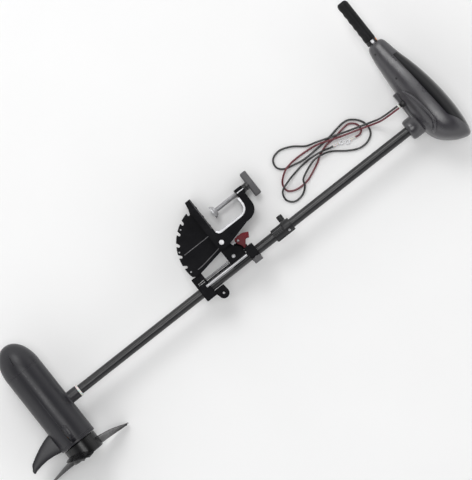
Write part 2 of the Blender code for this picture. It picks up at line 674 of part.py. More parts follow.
def lock_spring():
    turns = 8
    steps = 6
    radius = 0.0030
    start, end = 0.5012, 0.5672
    points = []
    for i in range(turns * steps + 1):
        angle = math.tau * i / steps
        points.append((start + (end - start) * i / (turns * steps),
                       LOCK_T + radius * math.cos(angle), radius * math.sin(angle)))
    return tube("lock_spring", "bright_steel", points, 0.0006, 1)


def lever():
    """Red release lever on a steel post, forked over the rod at its working end."""
    outline = [(0.6180, 0.0565), (0.6300, 0.0585), (0.6430, 0.0575), (0.6580, 0.0500), (0.6500, 0.0368),
               (0.6450, 0.0398), (0.6400, 0.0390), (0.6360, 0.0330), (0.6312, 0.0275), (0.6312, 0.0178),
               (0.6240, 0.0178), (0.6230, 0.0330), (0.6170, 0.0420), (0.6150, 0.0520)]
    body = flat("release_lever", "red_plastic", outline, (-0.0080, 0.0080))
    add_bevel(body, 0.0015)
    pin_hole = disc("lever_hole", "red_plastic", 0.0029, -0.02, 0.02, "up", (*LEVER_PIVOT, 0), 16)
    post_slot = block("post_slot", "red_plastic", (0.6100, 0.6285), (0.0390, 0.0570), (-0.0042, 0.0042))
    fork_slot = block("fork_slot", "red_plastic", (0.6100, 0.6400), (0.0100, 0.0262), (-0.0026, 0.0026))
    cut(body, pin_hole, post_slot, fork_slot)
    post = disc("lever_post", "bright_steel", 0.0035, 0.6008, 0.6255, "along", (0, LEVER_PIVOT[1], 0), 16)
    pin = disc("post_pin", "bright_steel", 0.0026, -0.0095, 0.0095, "up", (*LEVER_PIVOT, 0), 16)
    join(post, pin)
    return body, post


# ---------------------------------------------------------------- transom bracket

def arm_outline():
    """Side of a C-arm: the transom lip, the throat, the screw boss and the rounded back."""
    throat_low, throat_high = THROAT_S
    corner_low = arc((throat_low + 0.012, 0.1010), 0.0120, 180.0, 270.0, 5)
    corner_high = arc((throat_high - 0.026, 0.1150), 0.0260, 270.0, 360.0, 6)
    back_high = arc((0.6790, 0.1030), 0.0310, 360.0, 282.0, 6)
    return [(0.5775, PLATE_END_T), (throat_low, PLATE_END_T), *corner_low, *corner_high,
            (throat_high, 0.1320), (0.6910, 0.1325), (0.6910, 0.1520), (0.7130, 0.1520),
            (0.7130, 0.1320), (0.7100, 0.1290), *back_high,
            (0.6700, 0.0715), (0.6400, 0.0640), (0.6080, 0.0560), (0.6000, 0.0535),
            *arc(PIVOT, 0.0170, 300.0, 180.0, 7), (0.5720, 0.0900), (0.5720, 0.1750)]


def transom_bracket():
    bracket = None
    for side in (1, -1):
        h_range = sorted((side * ARM_H[0], side * ARM_H[1]))
        arm = flat("transom_bracket" if bracket is None else "far_arm", "black_casting", arm_outline(),
                   h_range)
        if bracket is None:
            bracket = arm
        else:
            join(bracket, arm)
    plate = block("transom_plate", "black_casting", (0.5860, THROAT_S[0]), (0.0905, PLATE_END_T),
                  (-0.0700, 0.0700))
    join(bracket, plate)
    hinge = disc("bracket_bore", "black_casting", PIVOT_RADIUS + GAP, -0.10, 0.10, "up", (*PIVOT, 0), 24)
    cut(bracket, hinge)
    for side in (-1, 1):
        sink = disc("bolt_sink", "black_casting", 0.0075, -0.0060, 0.0060, "up",
                    (*PIVOT, side * 0.0765), 24)
        bore = disc("screw_bore", "black_casting", SCREW_RADIUS + GAP, 0.68, 0.73, "along",
                    (0, SCREW_T, side * SCREW_H), 24)
        cut(bracket, sink, bore)
    return bracket


def quadrant_outline():
    rim = arc(PIVOT, QUADRANT_RADIUS, 97.0, 192.0, 19)
    lobe = arc(PIVOT, 0.0160, 270.0, 420.0, 8)
    return [(0.5855, 0.1825), *rim, (0.4850, 0.0425), (0.5000, 0.0410), (0.5750, 0.0535), *lobe,
            (0.5855, 0.0870)]


def notch_cutter(number):
    """A round-ended slot that leans the way the lock bar moves."""
    angle = NOTCH_FIRST + number * NOTCH_STEP
    lean = angle - NOTCH_SLANT
    root = (PIVOT[0] + NOTCH_RADIUS * math.cos(angle), PIVOT[1] + NOTCH_RADIUS * math.sin(angle))
    mouth = (root[0] + 0.0160 * math.cos(lean), root[1] + 0.0160 * math.sin(lean))
    lean_degrees = math.degrees(lean)
    outline = [*arc(root, 0.0036, lean_degrees + 90, lean_degrees + 270, 8),
               *arc(mouth, 0.0045, lean_degrees - 90, lean_degrees + 90, 1)]
    return flat("notch_form", "black_casting", outline, (-0.0450, 0.0450))


def quadrants():
    plates = []
    for name, side in (("quadrant_near", 1), ("quadrant_far", -1)):
        h_range = sorted((side * QUADRANT_H[0], side * QUADRANT_H[1]))
        hole = arc(PIVOT, PIVOT_RADIUS + GAP, 0.0, 345.0, 23)
        plate = flat(name, "black_casting", quadrant_outline(), h_range, [hole])
        for number in range(NOTCH_COUNT):
            cut(plate, notch_cutter(number))
        plates.append(plate)
    return plates


def tilt_bolt():
    shank = PIVOT_RADIUS
    profile = ((0.0, 0.0757), (0.0060, 0.0757), (0.0066, 0.0750), (0.0066, 0.0708), (shank, 0.0708),
               (shank, -0.0708), (0.0066, -0.0708), (0.0066, -0.0750), (0.0060, -0.0757), (0.0, -0.0757))
    turned("tilt_bolt", "bright_steel", profile, "up", (*PIVOT, 0), 24)


def clamp(name, side):
    """One clamp: the swivelling pad, the screw and its T handle."""
    centre = (0, SCREW_T, side * SCREW_H)
    pad_profile = ((0.0, 0.6205), (0.0058, 0.6205), (0.0058, 0.6270), (0.0100, 0.6270), (0.0125, 0.6255),
                   (0.0125, 0.6225), (0.01625, 0.6200), (0.01625, 0.6160), (0.0, 0.6160))
    pad = turned("clamp_pad_" + name, "bright_steel", pad_profile, "along", centre, 24)
    screw = disc("clamp_screw_" + name, "bright_steel", SCREW_RADIUS, 0.6208, 0.7380, "along", centre, 20)
    handle = block("clamp_handle_" + name, "grey_plastic", (0.7275, 0.7440), (0.1075, 0.1750),
                   (side * SCREW_H - 0.0075, side * SCREW_H + 0.0075), 0.0030)
    neck = disc("handle_neck", "grey_plastic", 0.0095, 0.7140, 0.7300, "along", centre, 24)
    bore = disc("handle_bore", "grey_plastic", SCREW_RADIUS + GAP, 0.7100, 0.7385, "along", centre, 24)
    join(handle, neck)
    cut(handle, bore)
    return pad, screw, handle


# ---------------------------------------------------------------- control head

def head_ring(station, inset):
    """One closed section of the head, a rounded box that is fuller below its shoulder."""
    t, low, high, half = station
    middle = low + 0.55 * (high - low)
    points = []
    for i in range(20):
        angle = math.tau * i / 20
        width = (half - inset) * math.copysign(abs(math.sin(angle)) ** 0.72, math.sin(angle))
        rise = math.cos(angle)
        reach = (high - middle if rise > 0 else middle - low) - inset
        points.append((middle + reach * math.copysign(abs(rise) ** 0.85, rise), t, width))
    return points


def head_form(name, inset):
    stations = list(HEAD_STATIONS)
    if inset:
        front = (stations[1][0] - inset, *stations[1][1:])
        rear = (stations[-2][0] + inset, *stations[-2][1:])
        stations = [front, *stations[2:-2], rear]
    return loft(name, "head_plastic", [head_ring(station, inset) for station in stations])


def cover_zone(margin):
    """The side view's area above the seam, moved by a margin off the seam."""
    front, *rest = HEAD_SEAM
    rear = rest[-1]
    points = [(1.30, front[0] - margin), (front[1] + margin, front[0] - margin)]
    points += [(s + margin, t) for t, s in rest]
    points += [(rear[1] + margin + 0.004, rear[0] - 0.010), (1.30, rear[0] - 0.010)]
    return flat("cover_zone", "head_plastic", points, (-0.10, 0.10))


def head_shells():
    housing = head_form("head_housing", 0.0)
    boss = turned("boss_form", "head_plastic",
                  ((0.0, 1.1760), (BOSS_RADIUS, 1.1760), (BOSS_RADIUS, 1.1350), (0.0255, 1.1262),
                   (0.0, 1.1262)), "along", (0, 0, 0))
    base = block("base_form", "head_plastic", (1.1512, 1.1680), (0.0150, 0.0940), (-0.0100, 0.0100),
                 0.0020)
    join(housing, boss, base)
    shaft_bore = disc("shaft_bore", "head_plastic", SHAFT_BORE, 1.10, 1.20, "along", (0, 0, 0), 24)
    tiller_bore = disc("tiller_bore", "head_plastic", 0.0109, 0.18, 0.24, "across", (GRIP_S, 0, 0), 24)
    gland_bore = disc("gland_bore", "head_plastic", 0.0078, 1.14, 1.1720, "along", (0, *GLAND[1:]), 24)
    cut(housing, cover_zone(0.0), head_form("head_hollow", HEAD_WALL), shaft_bore, tiller_bore, gland_bore)
    cover = head_form("head_cover", 0.0)
    combine(cover, "INTERSECT", cover_zone(GAP))
    cut(cover, head_form("cover_hollow", HEAD_WALL))
    cover.data.materials[0] = MATERIALS["gloss_black"]


def head_fittings():
    s, t, h = GLAND
    profile = ((0.0075, 1.1680), (0.0075, 1.1530), (0.0060, 1.1500), (0.0045, s), (0.0, s))
    gland = turned("cable_gland", "black_plastic", ((0.0, 1.1680), *profile), "along", (0, t, h), 24)
    switch = disc("speed_switch", "black_plastic", 0.0170, 0.1500, 0.1860, "across", (GRIP_S, 0, 0), 24)
    stub = disc("switch_stub", "black_plastic", 0.0045, 0.1800, 0.2080, "across", (GRIP_S, 0, 0), 16)
    join(switch, stub)
    return gland


def tiller():
    tube_part = ring("tiller_tube", "bright_steel", 0.0105, 0.0085, 0.1900, 0.3400, "across",
                     (GRIP_S, 0, 0), 24)
    dial = ring("speed_dial", "grey_plastic", 0.0145, 0.0108, 0.2255, 0.2360, "across", (GRIP_S, 0, 0), 24)
    end = GRIP_END
    profile = ((0.0, end), (0.0110, end), (0.0140, end - 0.0020), (GRIP_RADIUS, end - 0.0060),
               (GRIP_RADIUS, 0.2380), (0.0145, 0.2363), (0.0108, 0.2363), (0.0108, 0.3450), (0.0, 0.3450))
    grip = turned("twist_grip", "grip_rubber", profile, "across", (GRIP_S, 0, 0), 24)
    return [tube_part, dial, grip]


# ---------------------------------------------------------------- battery lead

def smooth_route(route):
    """Evenly spaced (s, t, h) points on the Catmull-Rom curve through a route."""
    knots = [Vector((s, t, z - AXIS_HEIGHT)) for s, t, z in route]
    knots = [2 * knots[0] - knots[1], *knots, 2 * knots[-1] - knots[-2]]
    fine = []
    for a, b, c, d in zip(knots, knots[1:], knots[2:], knots[3:]):
        for i in range(12):
            x = i / 12
            fine.append(0.5 * (2 * b + (c - a) * x + (2 * a - 5 * b + 4 * c - d) * x * x
                               + (3 * b - a - 3 * c + d) * x ** 3))
    fine.append(knots[-2])
    length = sum((b - a).length for a, b in zip(fine, fine[1:]))
    count = round(length / WIRE_STEP)
    points = [fine[0]]
    travelled = 0.0
    for a, b in zip(fine, fine[1:]):
        step = (b - a).length
        while len(points) < count and travelled + step >= length * len(points) / count:
            points.append(a.lerp(b, (length * len(points) / count - travelled) / step))
        travelled += step
    points.append(fine[-1])
    return points


def ring_terminal(name, points):
    """Sleeved ring terminal in line with the end of a wire."""
    run = points[-1] - points[-2]
    heading = math.atan2(run.y, run.x)
    along = Vector((math.cos(heading), math.sin(heading)))
    aside = Vector((-along.y, along.x))
    start = points[-1].xy + along * GAP
    tongue = [(0.0060, -0.0024), *arc((EYE, 0.0), EYE_RADIUS, -150.0, 150.0, 14), (0.0060, 0.0024)]
    hole = arc((EYE, 0.0), 0.0032, 0.0, 330.0, 11)
    outline, hole = [[start + along * x + aside * y for x, y in loop] for loop in (tongue, hole)]
    h = points[-1].z
    plate = flat("terminal_plate", "bright_steel", outline, (h - 0.0007, h + 0.0007), [hole])
    sleeve = disc(name, "nylon", 0.0030, 0.0, SLEEVE, "along", (*start, h), 16)
    sleeve.rotation_euler.rotate(Euler((0.0, 0.0, heading)))
    join(sleeve, plate)


def battery_lead():
    for colour, route in (("black", BLACK_ROUTE), ("red", RED_ROUTE)):
        points = smooth_route(route)
        tube("battery_lead_" + colour, colour + "_wire", points, WIRE_RADIUS)
        ring_terminal("ring_terminal_" + colour, points)


# ---------------------------------------------------------------- whole object

def build():
    motor_shell()
    nose_cone()
    rear_end_cap()
    magnets()
    bearings_and_brushes()
    skeg_fin()
    hang_on("prop_axis", (0, 0, 0), *rotor(), *propeller())
    shaft_tube()
    collar, knob = depth_collar()
    hang_on("collar_axis", (DEPTH_KNOB_S, 0, 0), collar)
    hang_on("depth_knob_axis", (DEPTH_KNOB_S, 0, 0), knob)
    friction, friction_knob = friction_collar()
    hang_on("friction_knob_axis", (0.6345, 0, PINCH_HEIGHT), friction_knob)
    release, post = lever()
    hang_on("tilt_axis", (*PIVOT, 0), lower_block(), hinge_block(), *tie_rods(), friction, post,
            lock_spring())
    hang_on("lock_axis", (LOCK_BAR_S, LOCK_T, 0), lock_rod())
    hang_on("lever_axis", (*LEVER_PIVOT, 0), release)
    hang_on("steer_axis", (0, 0, 0), *bushes())
    transom_bracket()
    quadrants()
    tilt_bolt()
    for name, side in (("near", 1), ("far", -1)):
        pad, screw, handle = clamp(name, side)
        hang_on("clamp_axis_" + name, (0, SCREW_T, side * SCREW_H), pad, screw, handle)
    head_shells()
    head_fittings()
    battery_lead()
    hang_on("grip_axis", (GRIP_S, 0, 0), *tiller())


clear_scene()
PARTS = make_collection("trolling_motor")
CUTTERS = make_collection("cutters")
MATERIALS = {name: make_material(name) for name in LOOKS}
build()
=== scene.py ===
"""Looks of the trolling motor: a finely made piece for each visible sub-part of the frame."""
import json
import math

import bmesh
import bpy
from mathutils import Matrix, Vector


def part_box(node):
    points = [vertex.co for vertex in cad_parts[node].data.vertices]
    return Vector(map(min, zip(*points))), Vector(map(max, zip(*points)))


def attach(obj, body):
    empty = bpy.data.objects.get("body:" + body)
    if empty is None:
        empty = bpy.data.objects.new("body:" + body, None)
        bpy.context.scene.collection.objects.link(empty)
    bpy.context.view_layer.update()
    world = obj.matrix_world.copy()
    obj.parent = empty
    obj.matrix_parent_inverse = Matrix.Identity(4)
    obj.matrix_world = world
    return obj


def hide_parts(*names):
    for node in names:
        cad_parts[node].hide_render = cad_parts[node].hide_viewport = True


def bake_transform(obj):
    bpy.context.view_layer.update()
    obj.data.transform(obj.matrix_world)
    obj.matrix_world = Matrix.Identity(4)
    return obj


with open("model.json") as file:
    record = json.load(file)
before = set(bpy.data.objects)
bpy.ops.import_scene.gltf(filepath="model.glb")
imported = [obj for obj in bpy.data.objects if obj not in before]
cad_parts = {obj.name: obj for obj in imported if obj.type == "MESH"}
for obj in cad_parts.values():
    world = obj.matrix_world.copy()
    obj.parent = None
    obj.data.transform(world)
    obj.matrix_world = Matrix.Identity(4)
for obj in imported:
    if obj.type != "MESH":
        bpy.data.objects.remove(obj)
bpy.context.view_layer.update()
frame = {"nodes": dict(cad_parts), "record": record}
NODES = frame["nodes"]
BODY_OF = {node: body for body, nodes in frame["record"]["behaviour"]["bodies"].items() for node in nodes}
S, T, H = 0, 1, 2
SIDES = ((1, "near"), (-1, "far"))


def middle(node, axis):
    low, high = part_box(node)
    return 0.5 * (low[axis] + high[axis])


# Places are (s, t, h): along the shaft from the motor's axis, across it toward the tiller, and up
ZERO = Vector((middle("nose_cone", S), middle("shaft_tube", T), middle("shaft_tube", H)))


def at(s, t, h=0.0):
    return ZERO + Vector((s, t, h))


def place(node, axis):
    """Middle of a node along s, t or h."""
    return middle(node, axis) - ZERO[axis]


def span(node, axis):
    """Both ends of a node along s, t or h."""
    low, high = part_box(node)
    return low[axis] - ZERO[axis], high[axis] - ZERO[axis]


SCREW_T = place("clamp_screw_near", T)
SCREW_H = place("clamp_screw_near", H)
GRIP_S = place("tiller_tube", S)
LOCK_T = place("lock_rod", T)
SHAFT_RADIUS = 0.0125
BORE_RADIUS = 0.0128


# ---------- materials

def remap(tree, value, low, high, start=0.3, end=0.7):
    node = tree.nodes.new("ShaderNodeMapRange")
    node.inputs["From Min"].default_value = start
    node.inputs["From Max"].default_value = end
    node.inputs["To Min"].default_value = low
    node.inputs["To Max"].default_value = high
    tree.links.new(value, node.inputs["Value"])
    return node.outputs["Result"]


class Finish:
    """A material in the making: its node tree, its shader and coordinates in metres."""

    def __init__(self, name, colour, roughness, metallic=0.0, shine=0.5):
        self.material = bpy.data.materials.new(name)
        self.material.use_nodes = True
        self.tree = self.material.node_tree
        self.shader = self.tree.nodes["Principled BSDF"]
        self.colour = None
        self.where = self.tree.nodes.new("ShaderNodeTexCoord").outputs["Object"]
        self.set("Base Color", (*colour, 1.0))
        self.set("Roughness", roughness)
        self.set("Metallic", metallic)
        self.set("Specular IOR Level", shine)

    def set(self, socket, value):
        self.shader.inputs[socket].default_value = value

    def link(self, socket, value):
        self.tree.links.new(value, self.shader.inputs[socket])

    def remap(self, value, low, high, start=0.3, end=0.7):
        return remap(self.tree, value, low, high, start, end)

    def noise(self, scale, detail=4.0, stretch=(1.0, 1.0, 1.0)):
        mapping = self.tree.nodes.new("ShaderNodeMapping")
        mapping.inputs["Scale"].default_value = stretch
        texture = self.tree.nodes.new("ShaderNodeTexNoise")
        texture.inputs["Scale"].default_value = scale
        texture.inputs["Detail"].default_value = detail
        self.tree.links.new(self.where, mapping.inputs["Vector"])
        self.tree.links.new(mapping.outputs["Vector"], texture.inputs["Vector"])
        return texture.outputs["Fac"]

    def bands(self, direction, scale, distortion=0.0):
        texture = self.tree.nodes.new("ShaderNodeTexWave")
        texture.bands_direction = direction
        texture.inputs["Scale"].default_value = scale
        texture.inputs["Distortion"].default_value = distortion
        self.tree.links.new(self.where, texture.inputs["Vector"])
        return texture.outputs["Fac"]

    def mix(self, factor, first, second):
        """Colour between two sockets or colours."""
        node = self.tree.nodes.new("ShaderNodeMix")
        node.data_type = "RGBA"
        self.tree.links.new(factor, node.inputs["Factor"])
        for socket, value in (("A", first), ("B", second)):
            if isinstance(value, bpy.types.NodeSocket):
                self.tree.links.new(value, node.inputs[socket])
            else:
                node.inputs[socket].default_value = (*value, 1.0)
        self.colour = node.outputs["Result"]
        self.link("Base Color", self.colour)

    def tint(self, value, first, second, start=0.3, end=0.7):
        """Base colour that drifts between two colours."""
        self.mix(self.remap(value, 0.0, 1.0, start, end), first, second)

    def gloss(self, value, low, high, start=0.3, end=0.7):
        """Roughness that drifts between two values."""
        self.link("Roughness", self.remap(value, low, high, start, end))

    def bump(self, value, depth, strength=1.0):
        node = self.tree.nodes.new("ShaderNodeBump")
        node.inputs["Distance"].default_value = depth
        node.inputs["Strength"].default_value = strength
        self.tree.links.new(value, node.inputs["Height"])
        self.link("Normal", node.outputs["Normal"])

    def edge_wear(self, colour):
        """Rubbed edges: convex edges, broken up by noise, show a lighter colour."""
        geometry = self.tree.nodes.new("ShaderNodeNewGeometry")
        both = self.tree.nodes.new("ShaderNodeMath")
        both.operation = "MULTIPLY"
        for i, (value, *ends) in enumerate(((geometry.outputs["Pointiness"], 0.53, 0.6),
                                            (self.noise(220.0), 0.45, 0.65))):
            self.tree.links.new(self.remap(value, 0.0, 1.0, *ends), both.inputs[i])
        self.mix(both.outputs["Value"], self.colour, colour)


def finished(name, colour, roughness, metallic=0.0, shine=0.5, tint=None, wear=None, gloss=None, bump=None):
    """A material with drifting tint and gloss, worn edges and a fine relief, each from its own noise."""
    finish = Finish(name, colour, roughness, metallic, shine)
    if tint:
        finish.tint(finish.noise(*tint[0]), *tint[1:])
    if wear:
        finish.edge_wear(wear)
    if gloss:
        finish.gloss(finish.noise(*gloss[0]), *gloss[1:])
    if bump:
        finish.bump(finish.noise(*bump[0]), *bump[1:])
    return finish


def moulded(name, colour, roughness, grain=1400.0, depth=0.00006, wear=0.35, shine=0.4):
    """Textured moulded plastic: a fine grain, slow patches of gloss and rubbed edges."""
    return finished(name, colour, roughness, 0.0, shine,
                    tint=((9.0,), [0.8 * c for c in colour], [1.25 * c for c in colour]),
                    wear=wear and [min(1.0, c * 2.2 + 0.02 * wear) for c in colour],
                    gloss=((30.0,), roughness - 0.05, roughness + 0.07), bump=((grain, 2.0), depth)).material


def motor_paint():
    """Dark violet-grey baked enamel with a fine orange peel and metal flake."""
    return finished("motor_paint", (0.009, 0.0087, 0.012), 0.4,
                    tint=((2600.0, 1.0), (0.0065, 0.006, 0.009), (0.014, 0.0135, 0.019), 0.4, 0.75),
                    wear=(0.05, 0.048, 0.053), gloss=((22.0,), 0.34, 0.42),
                    bump=((320.0, 3.0), 0.00005)).material


def shaft_black():
    """Drawn tube in satin black: fine lines along it and faint rub marks round it."""
    lines = (900.0, 3.0, (0.012, 1.0, 1.0))
    rubs = (60.0, 5.0, (1.6, 0.2, 0.2))
    return finished("shaft_black", (0.006, 0.006, 0.007), 0.26,
                    tint=(rubs, (0.006, 0.006, 0.007), (0.014, 0.014, 0.016), 0.5, 0.8),
                    gloss=(lines, 0.24, 0.38), bump=(lines, 0.00003)).material


def gloss_black():
    """Polished panel with hairline scratches and a little dust in its roughness."""
    scratches = (260.0, 6.0, (0.08, 1.0, 0.6))
    return finished("gloss_black", (0.003, 0.003, 0.004), 0.16, 0.0, 0.3,
                    tint=(scratches, (0.004, 0.004, 0.005), (0.008, 0.008, 0.009), 0.6, 0.8),
                    gloss=(scratches, 0.13, 0.24, 0.4, 0.75), bump=((45.0,), 0.00003, 0.4)).material


def prop_plastic():
    """Glossy glass-filled blade plastic with flow lines out of the hub."""
    flow = (70.0, 5.0, (1.0, 0.25, 1.0))
    return finished("prop_plastic", (0.004, 0.004, 0.004), 0.22, 0.0, 0.35,
                    tint=(flow, (0.003, 0.003, 0.003), (0.007, 0.007, 0.008)),
                    gloss=(flow, 0.18, 0.34), bump=((600.0, 2.0), 0.00001)).material


def brushed(name, colour, roughness):
    """Bright metal brushed along the shaft, with darker stains in the low spots."""
    lines = (1500.0, 3.0, (0.05, 1.0, 1.0))
    return finished(name, colour, roughness, 1.0, tint=((90.0,), [0.72 * c for c in colour], colour),
                    wear=[min(1.0, 1.15 * c) for c in colour],
                    gloss=(lines, roughness - 0.05, roughness + 0.05), bump=(lines, 0.000003)).material


def grip_rubber():
    """Soft rubber: a pebbled skin that is shinier where the hand polishes it."""
    finish = finished("grip_rubber", (0.004, 0.004, 0.005), 0.45, 0.0, 0.2,
                      tint=((40.0,), (0.003, 0.003, 0.004), (0.007, 0.007, 0.008)),
                      gloss=((25.0,), 0.38, 0.56))
    cells = finish.tree.nodes.new("ShaderNodeTexVoronoi")
    cells.inputs["Scale"].default_value = 900.0
    finish.tree.links.new(finish.where, cells.inputs["Vector"])
    finish.bump(cells.outputs["Distance"], 0.00018, 0.8)
    return finish.material


def wire_skin(name, first, second):
    """Soft extruded insulation, slightly cloudy, with a faint lengthwise ripple."""
    finish = finished(name, first, 0.38, tint=((160.0,), first, second), gloss=((90.0,), 0.28, 0.48),
                      bump=((500.0,), 0.00008))
    finish.set("Coat Weight", 0.2)
    return finish.material


def nylon():
    """Milky natural nylon."""
    finish = finished("nylon", (0.72, 0.71, 0.68), 0.35,
                      tint=((200.0,), (0.62, 0.61, 0.58), (0.8, 0.79, 0.76)), bump=((700.0,), 0.00005))
    finish.set("Subsurface Weight", 0.3)
    finish.set("Subsurface Scale", 0.002)
    return finish.material


def banded(name, colour, roughness, metallic, bands, first, second, depth):
    """Metal in fine bands: stamped sheets or wound strands."""
    finish = Finish(name, colour, roughness, metallic)
    stripes = finish.bands(*bands)
    finish.mix(stripes, first, second)
    finish.bump(stripes, depth)
    return finish.material


# (colour, roughness, grain, grain's depth, edge wear, shine)
MOULDED = {
    "black_casting": ((0.0028, 0.0028, 0.004), 0.46, 1100.0, 0.00005, 0.2, 0.08),
    "head_plastic": ((0.021, 0.0195, 0.025), 0.3, 1600.0, 0.00005, 0.2, 0.85),
    "grey_plastic": ((0.085, 0.084, 0.088), 0.4, 900.0, 0.0001),
    "red_plastic": ((0.18, 0.01, 0.018), 0.4, 1200.0, 0.00005, 0.35, 0.2),
    "black_plastic": ((0.006, 0.006, 0.007), 0.33, 1300.0, 0.00005),
    "carbon": ((0.035, 0.035, 0.036), 0.6, 1800.0, 0.0001),
    "magnet": ((0.09, 0.086, 0.086), 0.6, 1500.0, 0.0001),
    "seal_rubber": ((0.014, 0.014, 0.014), 0.65, 900.0, 0.00005, 0.0),
}
LOOKS = {name: moulded(name, *values) for name, values in MOULDED.items()}
LOOKS |= {
    "motor_paint": motor_paint(),
    "nose_plastic": motor_paint(),
    "shaft_black": shaft_black(),
    "gloss_black": gloss_black(),
    "prop_plastic": prop_plastic(),
    "bright_steel": brushed("bright_steel", (0.5, 0.5, 0.515), 0.42),
    "grip_rubber": grip_rubber(),
    "nylon": nylon(),
    "iron": banded("iron", (0.25, 0.245, 0.24), 0.45, 0.9, ("Y", 300.0), (0.16, 0.155, 0.15),
                   (0.3, 0.29, 0.28), 0.0001),
    "copper": banded("copper", (0.72, 0.3, 0.13), 0.3, 1.0, ("DIAGONAL", 220.0, 2.0), (0.45, 0.14, 0.05),
                     (0.8, 0.36, 0.16), 0.0003),
    "red_wire": wire_skin("red_wire", (0.1, 0.006, 0.014), (0.15, 0.012, 0.024)),
    "black_wire": wire_skin("black_wire", (0.009, 0.009, 0.01), (0.02, 0.02, 0.021)),
}


def paint_frame():
    """Every node of the frame that stays in view takes its slot's material."""
    for part in frame["record"]["subparts"]:
        obj = NODES[part["node"]]
        obj.data.materials.clear()
        obj.data.materials.append(LOOKS[part["material_slot"]])


# ---------- making pieces

def added(name, data):
    """A new object in the scene."""
    obj = bpy.data.objects.new(name, data)
    bpy.context.scene.collection.objects.link(obj)
    return obj


def piece(name, look, bm, bevel=0.0, segments=2, sharp=38.0):
    """A mesh piece in world coordinates, smooth-shaded, with softened edges."""
    mesh = bpy.data.meshes.new(name)
    bm.to_mesh(mesh)
    bm.free()
    obj = added(name, mesh)
    mesh.materials.append(LOOKS[look])
    mesh.shade_smooth()
    mesh.set_sharp_from_angle(angle=math.radians(sharp))
    if bevel:
        soften(obj, bevel, segments)
    return obj


def soften(obj, width, segments=2):
    edge = obj.modifiers.new("Edge", "BEVEL")
    edge.width = width
    edge.segments = segments
    edge.limit_method = "ANGLE"
    edge.angle_limit = math.radians(38.0)
    edge.use_clamp_overlap = True
    normals = obj.modifiers.new("Normals", "WEIGHTED_NORMAL")
    normals.keep_sharp = False
    normals.weight = 80


def evaluated(obj):
    """Mesh of an object with its modifiers or curve settings applied."""
    bpy.context.view_layer.update()
    return bpy.data.meshes.new_from_object(obj.evaluated_get(bpy.context.evaluated_depsgraph_get()))


def bake(obj):
    """Replaces a piece's mesh by its evaluated shape and clears its modifiers."""
    mesh = evaluated(obj)
    obj.modifiers.clear()
    obj.data = mesh
    return obj


def combine(operation, target, tools):
    for tool in tools:
        step = target.modifiers.new("Step", "BOOLEAN")
        step.operation = operation
        step.solver = "EXACT"
        step.object = tool
    bake(target)
    for tool in tools:
        bpy.data.objects.remove(tool, do_unlink=True)
    return target


def cut(target, *tools):
    return combine("DIFFERENCE", target, tools)


def fuse(target, *tools):
    return combine("UNION", target, tools)


def gather(target, *others):
    """Joins meshes of several materials into one piece."""
    bake(target)
    bm = bmesh.new()
    bm.from_mesh(target.data)
    slots = list(target.data.materials)
    for other in others:
        bake(other)
        start = len(bm.faces)
        bm.from_mesh(other.data)
        bm.faces.ensure_lookup_table()
        material = other.data.materials[0]
        if material not in slots:
            slots.append(material)
            target.data.materials.append(material)
        for face in bm.faces[start:]:
            face.material_index = slots.index(material)
        bpy.data.objects.remove(other, do_unlink=True)
    bm.to_mesh(target.data)
    bm.free()
    return target


def stands_for(obj, node):
    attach(obj, BODY_OF[node])
    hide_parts(node)
    return obj


def rides_with(obj, node):
    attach(obj, BODY_OF[node])
    return obj


def rounded(points, radius, closed=True):
    """A flat outline with its corners rounded off."""
    out = []
    count = len(points)
    for i, point in enumerate(points):
        here = Vector(point)
        if not closed and i in (0, count - 1):
            out.append(tuple(here))
            continue
        before = Vector(points[i - 1]) - here
        after = Vector(points[(i + 1) % count]) - here
        reach = min(radius, 0.45 * before.length, 0.45 * after.length)
        first = here + before.normalized() * reach
        last = here + after.normalized() * reach
        for x in (0.0, 0.3, 0.7, 1.0):
            out.append(tuple(first * (1 - x) ** 2 + here * (2 * x * (1 - x)) + last * x * x))
    return out


AXES = {"along": Matrix.Rotation(math.pi / 2, 3, "Y"), "across": Matrix.Rotation(-math.pi / 2, 3, "X"),
        "up": Matrix.Identity(3)}


def turned(name, look, profile, axis, centre=(0, 0, 0), segments=96, bevel=0.0, turn=None):
    """A profile of (radius, distance) turned about an axis through a centre."""
    turn = AXES[axis] if turn is None else turn
    closed = profile[0][0] > 0.0
    if bevel:
        profile = rounded(profile, bevel, closed)
    bm = bmesh.new()
    rings = []
    for radius, distance in profile:
        count = segments if radius > 0.0 else 1
        ring = []
        for i in range(count):
            angle = math.tau * i / segments
            local = Vector((radius * math.cos(angle), radius * math.sin(angle), distance))
            ring.append(bm.verts.new(at(*centre) + turn @ local))
        rings.append(ring)
    pairs = list(zip(rings, rings[1:]))
    if closed:
        pairs.append((rings[-1], rings[0]))
    for first, second in pairs:
        for i in range(segments):
            j = i + 1
            corners = [first[i % len(first)], first[j % len(first)],
                       second[j % len(second)], second[i % len(second)]]
            unique = list(dict.fromkeys(corners))
            if len(unique) > 2:
                bm.faces.new(unique)
    bmesh.ops.recalc_face_normals(bm, faces=bm.faces)
    return piece(name, look, bm)


def tube(name, look, outer, inner, ends, axis, centre=(0, 0, 0), segments=96, bevel=0.0):
    """A straight tube between two ends, solid where its inner radius is zero."""
    low, high = ends
    profile = ((inner, high), (outer, high), (outer, low), (inner, low))
    return turned(name, look, profile, axis, centre, segments, bevel)


def loft(name, look, rings, sharp=38.0):
    """A closed skin over rings of points, with its ends capped."""
    bm = bmesh.new()
    rings = [[bm.verts.new(point) for point in ring] for ring in rings]
    count = len(rings[0])
    for first, second in zip(rings, rings[1:]):
        for j in range(count):
            bm.faces.new((first[j], first[(j + 1) % count], second[(j + 1) % count], second[j]))
    bm.faces.new(rings[0])
    bm.faces.new(rings[-1])
    bmesh.ops.recalc_face_normals(bm, faces=bm.faces)
    return piece(name, look, bm, sharp=sharp)


